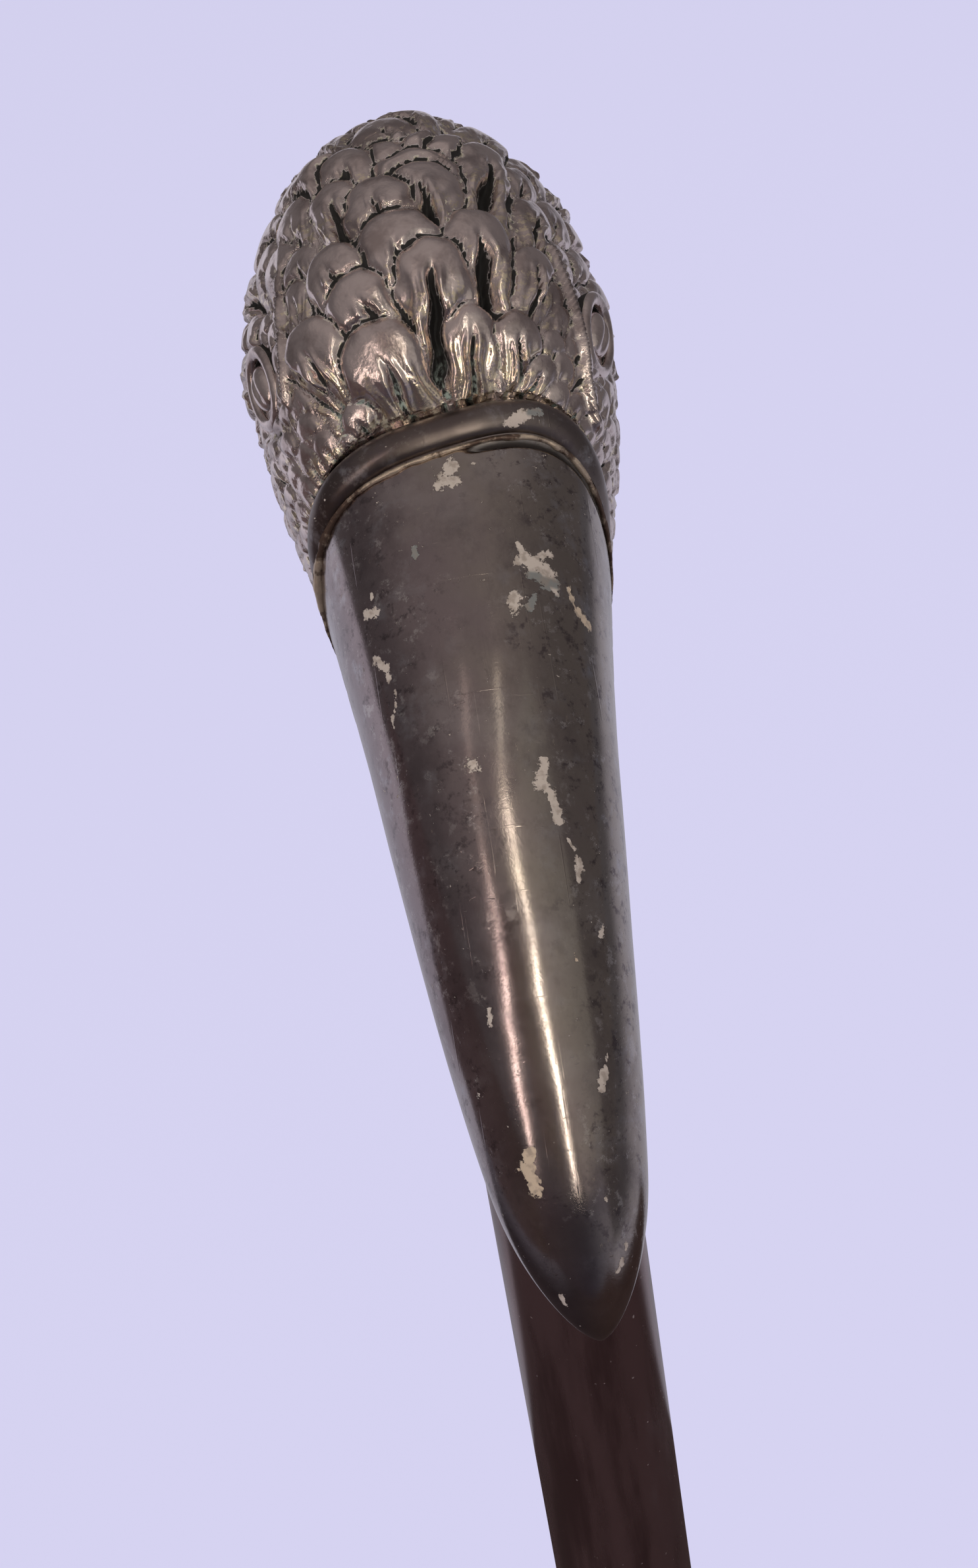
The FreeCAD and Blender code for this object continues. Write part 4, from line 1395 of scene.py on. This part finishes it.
@dataclass
class Beak:
    """The long down-curved beak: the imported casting's outside, with the lean and swell of hand work."""
    form: HeadForm
    half_width: float = 17.1 * MM
    half_height: float = 19.0 * MM
    waist_half_width: float = 7.9 * MM
    waist_half_height: float = 8.6 * MM
    swell: float = 0.55 * MM
    forward: float = 74.0 * MM
    down: float = 52.0 * MM
    start_slope: float = 12.0
    end_slope: float = 52.0
    upright_share: float = 0.34
    tip_length: float = 12.5 * MM
    tip_onset: float = 16.0 * MM
    lean_right: float = 1.5 * MM
    fuller: float = 0.6 * MM
    around: int = 232
    along: int = 300
    root_share: float = -0.03
    tip_run: float = 0.84
    seam_share: float = 0.052
    seam_ahead: float = 0.0026
    seam_half: float = 0.0048
    seam_depth: float = 0.85 * MM
    # How wide the painted shade of the open seam spreads.
    seam_shade_width: float = 0.5 * MM
    gape_angle: float = math.radians(99.0)
    gape_half: float = 0.045
    gape_depth: float = 0.45 * MM
    gape_end: float = 0.8
    nick_depth: float = 0.1 * MM
    nick_end: float = 0.42
    flakes: Tuple[Flake, ...] = (
        Flake((687, 703), (680, 716), 0.80 * MM),
        Flake((668, 732), (688, 728), 0.82 * MM),
        Flake((716, 703), (720, 704), 0.22 * MM),
        Flake((786, 822), (795, 845), 0.30 * MM),
        Flake((800, 850), (828, 870), 1.05 * MM),
        Flake((822, 845), (836, 840), 0.42 * MM),
        Flake((815, 872), (838, 890), 1.0 * MM, Tint.BLUISH),
        Flake((838, 895), (846, 900), 0.3 * MM),
        Flake((780, 900), (781, 930), 0.5 * MM),
        Flake((812, 905), (803, 925), 0.36 * MM, Tint.BLUISH),
        Flake((864, 895), (870, 915), 0.3 * MM, Tint.GOLD),
        Flake((880, 930), (893, 950), 0.48 * MM, Tint.GOLD),
        Flake((555, 933), (572, 930), 0.5 * MM),
        Flake((563, 903), (565, 908), 0.22 * MM),
        Flake((629, 832), (630, 845), 0.3 * MM, Tint.BLUISH),
        Flake((570, 1003), (585, 1012), 0.6 * MM),
        Flake((588, 1010), (590, 1035), 0.38 * MM),
        Flake((600, 1050), (601, 1080), 0.2 * MM),
        Flake((596, 1088), (598, 1105), 0.24 * MM),
        Flake((716, 1158), (716, 1166), 0.66 * MM),
        Flake((826, 1155), (822, 1185), 0.55 * MM),
        Flake((818, 1190), (838, 1205), 0.6 * MM),
        Flake((840, 1210), (848, 1245), 0.48 * MM),
        Flake((863, 1275), (873, 1290), 0.2 * MM),
        Flake((878, 1305), (884, 1320), 0.6 * MM),
        Flake((876, 1315), (879, 1336), 0.34 * MM),
        Flake((916, 1405), (912, 1420), 0.28 * MM),
        Flake((873, 1445), (875, 1458), 0.14 * MM, Tint.GOLD),
        Flake((742, 1532), (745, 1555), 0.32 * MM),
        Flake((922, 1600), (921, 1610), 0.15 * MM),
        Flake((916, 1625), (913, 1652), 0.38 * MM),
        Flake((920, 1620), (922, 1635), 0.26 * MM),
        Flake((804, 1748), (803, 1765), 0.5 * MM, Tint.GOLD),
        Flake((800, 1775), (812, 1805), 0.75 * MM, Tint.GOLD),
        Flake((918, 1815), (921, 1822), 0.2 * MM),
        Flake((951, 1890), (950, 1900), 0.2 * MM),
        Flake((945, 1915), (940, 1928), 0.32 * MM),
        Flake((854, 1970), (858, 1980), 0.26 * MM),
    )

    def middle(self, share: float) -> Tuple[Vector, float]:
        """A point of the middle line, and the line's slope below level in radians."""
        start = math.tan(math.radians(self.start_slope))
        end = math.tan(math.radians(self.end_slope))
        bend = (self.forward * end - self.down) / (end - start)
        rest = 1.0 - share
        reach = 2 * rest * share * bend + share ** 2 * self.forward
        drop = 2 * rest * share * bend * start + share ** 2 * self.down
        reach_way = rest * bend + share * (self.forward - bend)
        drop_way = rest * bend * start + share * (self.down - bend * start)
        point = self.form.point(self.form.face_reach + reach, -self.form.face_drop - drop)
        return point, math.atan2(drop_way, reach_way)

    def point(self, angle: float, share: float, proud: float = 0.0) -> Vector:
        """A point of the beak's skin.

        Args:
            angle: round the beak from its top, positive to the right, in radians.
            share: how far along the middle line; below 0 is inside the head.
            proud: how far outside the skin.

        Returns:
            The point.
        """
        center, slope = self.middle(max(share, 0.0))
        center.y -= min(share, 0.0) * self.forward
        center.x += self.lean_right * max(share, 0.0) ** 4
        lean = slope * min(1.0, max(share, 0.0) / self.upright_share)
        upright = Vector((0.0, -math.sin(lean), math.cos(lean)))
        chord = math.hypot(self.forward, self.down)
        taper = max(share, 0.0) / (1.0 - self.tip_length / chord)
        onset = self.tip_onset / chord
        rounding = max(0.0, 1.0 - max(0.0, (share - 1.0 + onset) / onset) ** 2.5) ** 0.66
        fuller = float(hill(share - 0.74, 0.2) - 0.5 * hill(share - 0.28, 0.14))
        swell = self.swell * math.sin(math.pi * taper) + self.fuller * fuller + proud
        square = squarish(angle, 2.0 + self.form.squareness * max(0.0, 1.0 - taper))
        across = (self.half_width + (self.waist_half_width - self.half_width) * taper + swell) * rounding
        high = (self.half_height + (self.waist_half_height - self.half_height) * taper + swell) * rounding
        sideways = Vector((1, 0, 0)) * across * math.sin(angle)
        return center + (sideways + upright * high * math.cos(angle)) * square

    def build(self, shot: Shot) -> bpy.types.Object:
        """Models the beak.

        Args:
            shot: the camera, which places the flakes that the photograph shows.

        Returns:
            The finished piece.
        """
        beak = new_object("beak_skin", wrapped_grid(self.around, self.along, self._station))
        mesh = beak.data
        # Where the open seam is painted in shade.
        seam = self._painted_seam_shade(read_points(mesh))
        write_points(mesh, self.form.bend(read_points(mesh)))
        store_flakes(mesh, self.flakes, shot)
        store(mesh, Layer.SEAM_SHADE, seam)
        return beak

    def _station(self, turn: float, run: float) -> Vector:
        """A vertex by its share round and along, with the grooves and the metal's unevenness cut in."""
        angle = 2 * math.pi * turn - math.pi
        angle -= 0.32 * math.sin(angle)
        tip = 1.0 - self.tip_onset / math.hypot(self.forward, self.down)
        if run < self.tip_run:
            share = self.root_share + (tip - self.root_share) * run / self.tip_run
        else:
            share = tip + (1.0 - tip) * math.sin(math.pi / 2 * (run - self.tip_run) / (1.0 - self.tip_run))
        point = self.point(angle, share)
        uneven = noise.noise(point / (9.0 * MM)) * 0.045 * MM + noise.noise(point / (3.0 * MM)) * 0.008 * MM
        if share > tip:
            uneven *= 1.0 - (share - tip) / (1.0 - tip)
        cut = self._gape(angle, share) + self._seam(angle, share)
        return self.point(angle, share, uneven - cut)

    def _gape(self, angle: float, share: float) -> float:
        """The mouth line's depth: a groove just under the widest line, notched near the root."""
        off = abs(angle) - self.gape_angle
        fade = ease((self.gape_end - share) / 0.1) * ease((share - 0.06) / 0.03)
        groove = hill(off, self.gape_half) * self.gape_depth
        beat = share * 110.0 + 9.0 * noise.noise(Vector((share * 12.0, 1.0, 4.0)))
        notch = max(0.0, math.sin(beat)) ** 3 * ease((self.nick_end - share) / 0.1)
        nicks = hill(off + 0.08, 0.05) * notch * self.nick_depth
        return float((groove + nicks) * fade)

    @staticmethod
    def _open_right(angle: Values) -> Values:
        """How far the seam stands open at an angle: 1 along the rim's right half, and 0 elsewhere."""
        return ease((angle - 0.05) / 0.25) * ease((2.1 - angle) / 0.5)

    def _seam(self, angle: float, share: float) -> float:
        """The open seam's depth."""
        past = share - self.seam_share - self.seam_ahead
        return float(hill(past, self.seam_half) * self._open_right(angle)) * self.seam_depth

    def _painted_seam_shade(self, points: np.ndarray) -> np.ndarray:
        """The painted shade of the open seam at each vertex, worked out from its place."""
        share = self.seam_share + self.seam_ahead
        middle, slope = self.middle(share)
        above = points[:, 2] - middle.z
        past = middle.y - points[:, 1] - above * math.tan(slope * share / self.upright_share)
        angle = np.arctan2(points[:, 0] / self.half_width, above / self.half_height)
        return hill(past, self.seam_shade_width) * self._open_right(angle)


@dataclass
class BeakRim:
    """The half-round band round the beak's root, with the solder that holds the beak."""
    form: HeadForm
    beak: Beak
    wire: float = 2.6 * MM
    proud: float = 1.2 * MM
    thinned: float = 1.3 * MM
    thin_angle: float = math.radians(101.0)
    thin_spread: float = 0.58
    ahead: float = 1.55 * MM
    flattened: float = 0.97
    face_gap: float = 0.02 * MM
    around: int = 288
    section: int = 40
    solder_radius: float = 0.34 * MM
    solder_thick_at: float = math.radians(287.0)
    solder_lag: float = 0.1
    solder_around: int = 360
    solder_section: int = 10
    flakes: Tuple[Flake, ...] = (
        Flake((775, 640), (798, 630), 0.75 * MM),
        Flake((803, 626), (820, 625), 0.5 * MM, Tint.BLUISH),
        Flake((492, 752), (494, 758), 0.18 * MM),
    )

    def build_band(self, shot: Shot) -> bpy.types.Object:
        """Bends the band round the beak's root."""
        band = new_object("rim_band", wrapped_grid(self.around, self.section, self._band_point))
        write_points(band.data, self.form.bend(read_points(band.data)))
        store_flakes(band.data, self.flakes, shot)
        store(band.data, Layer.SEAM_SHADE, np.zeros(len(band.data.vertices)))
        return band

    def _band_point(self, turn: float, run: float) -> Vector:
        """A vertex by its share round the beak and its share round the band's section."""
        angle = 2 * math.pi * turn
        way = 2 * math.pi * run
        uneven = noise.noise(Vector((math.sin(angle) * 2.2, math.cos(angle) * 2.2, 3.0)))
        fine = noise.noise(Vector((math.sin(angle) * 9.0, math.cos(angle) * 9.0, 7.0)))
        wire = self.wire * (1.0 + 0.035 * uneven + 0.012 * fine)
        out = math.cos(way) * wire
        reach = self.form.face_reach + self.ahead + math.sin(way) * wire * self.flattened
        reach = max(reach, self.form.face_reach + self.face_gap)
        from_thin = min(angle, 2 * math.pi - angle) - self.thin_angle
        proud = self.proud - self.thinned * float(hill(from_thin, self.thin_spread))
        across = self.beak.half_width + proud - self.wire + out
        high = self.beak.half_height + proud - self.wire + out
        square = squarish(angle, 2.0 + self.form.squareness)
        return self.form.point(reach, -self.form.face_drop + high * math.cos(angle) * square,
                               across * math.sin(angle) * square)

    def build_solder(self) -> bpy.types.Object:
        """Runs the uneven solder line along the corner between band and beak."""
        grid = wrapped_grid(self.solder_around, self.solder_section, self._solder_point)
        solder = new_object("rim_solder", grid)
        write_points(solder.data, self.form.bend(read_points(solder.data)))
        return solder

    def _solder_point(self, turn: float, run: float) -> Vector:
        """A vertex by its share round the beak and its share round the solder's section."""
        angle = 2 * math.pi * turn
        lump = noise.noise(Vector((math.sin(angle) * 8.0, math.cos(angle) * 8.0, 1.0)))
        fine = noise.noise(Vector((math.sin(angle) * 30.0, math.cos(angle) * 30.0, run * 2.0)))
        from_thin = min(angle, 2 * math.pi - angle) - self.thin_angle - self.solder_lag
        thick = 1.0 + 1.1 * hill(angle - self.solder_thick_at, 0.36) - 0.75 * hill(from_thin, 0.3)
        radius = self.solder_radius * float(thick + 0.45 * lump + 0.2 * fine)
        way = 2 * math.pi * run
        corner = self.beak.point(angle, self.beak.seam_share - 0.002 + 0.0022 * lump, 0.08 * MM)
        out = (self.beak.point(angle, self.beak.seam_share, 1.0 * MM) - corner).normalized()
        return corner + out * math.cos(way) * radius + Vector((0, -1, 0)) * math.sin(way) * radius


# The whole stick

SLOTS = {"rubber_tip": "rubber", "tip_washer": "steel", "shaft_tube": "plated_shaft",
         "foot_plug": "turned_brass", "shaft_bush": "turned_brass", "neck_socket": "turned_brass",
         "joining_stud": "steel", "neck_collar": "plated_collar"}


def join(piece: bpy.types.Object, slot: str, finish: bpy.types.Material, *nodes: str) -> None:
    """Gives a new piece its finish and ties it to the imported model."""
    piece.data.materials.clear()
    piece.data.materials.append(finish)
    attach(piece, "root")
    if nodes:
        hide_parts(*nodes)
    LOG.info("%s: %d faces", piece.name, len(piece.data.polygons))


def dress(node: bpy.types.Object, finish: bpy.types.Material) -> None:
    """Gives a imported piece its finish."""
    for slot in node.material_slots:
        slot.material = finish
    LOG.info("%s dressed", node.name)


def main() -> None:
    """Builds the stick's looks in order."""
    logging.basicConfig(level=logging.INFO, format="%(message)s")
    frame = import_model()
    bpy.context.scene.view_settings.view_transform = "Standard"
    _, head_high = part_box("feathered_head")
    form = HeadForm(eye_height=head_high[2] - CROWN_ABOVE_EYE)
    shot = Shot(form.eye_height)
    shot.make()

    silver = SilverPlate("plated_beak").make()
    rim_silver = SilverPlate("plated_rim", warm=(0.15, 0.119, 0.112), cool=(0.225, 0.19, 0.178),
                             frost=(0.36, 0.32, 0.30), roughness=0.25).make()
    plumage = FeatherPlate("plated_feathers").make()
    head = FeatheredHead(form).build(shot)
    join(head, "plated_feathers", plumage, "feathered_head")
    for name, side in (("left_eye", -1), ("right_eye", 1)):
        join(Eye(name, side, form).build(), "plated_feathers", plumage)
    beak = Beak(form)
    join(beak.build(shot), "plated_beak", silver, "beak")
    rim = BeakRim(form, beak)
    join(rim.build_band(shot), "plated_rim", rim_silver, "beak_rim")
    join(rim.build_solder(), "plated_rim", Solder("solder").make())

    brass = TurnedMetal("turned_brass", (0.58, 0.43, 0.20)).make()
    steel = TurnedMetal("steel", (0.46, 0.46, 0.47)).make()
    finishes = {"turned_brass": brass, "steel": steel, "rubber": OldRubber("rubber").make(),
                "plated_shaft": ShaftPlate("plated_shaft").make(),
                "plated_collar": ShaftPlate("plated_collar", body=(0.30, 0.245, 0.235)).make()}
    for name, slot in SLOTS.items():
        dress(frame["nodes"][name], finishes[slot])

    Studio().make(Vector((0.0, 0.0, form.eye_height)))


if __name__ == "__main__":
    main()
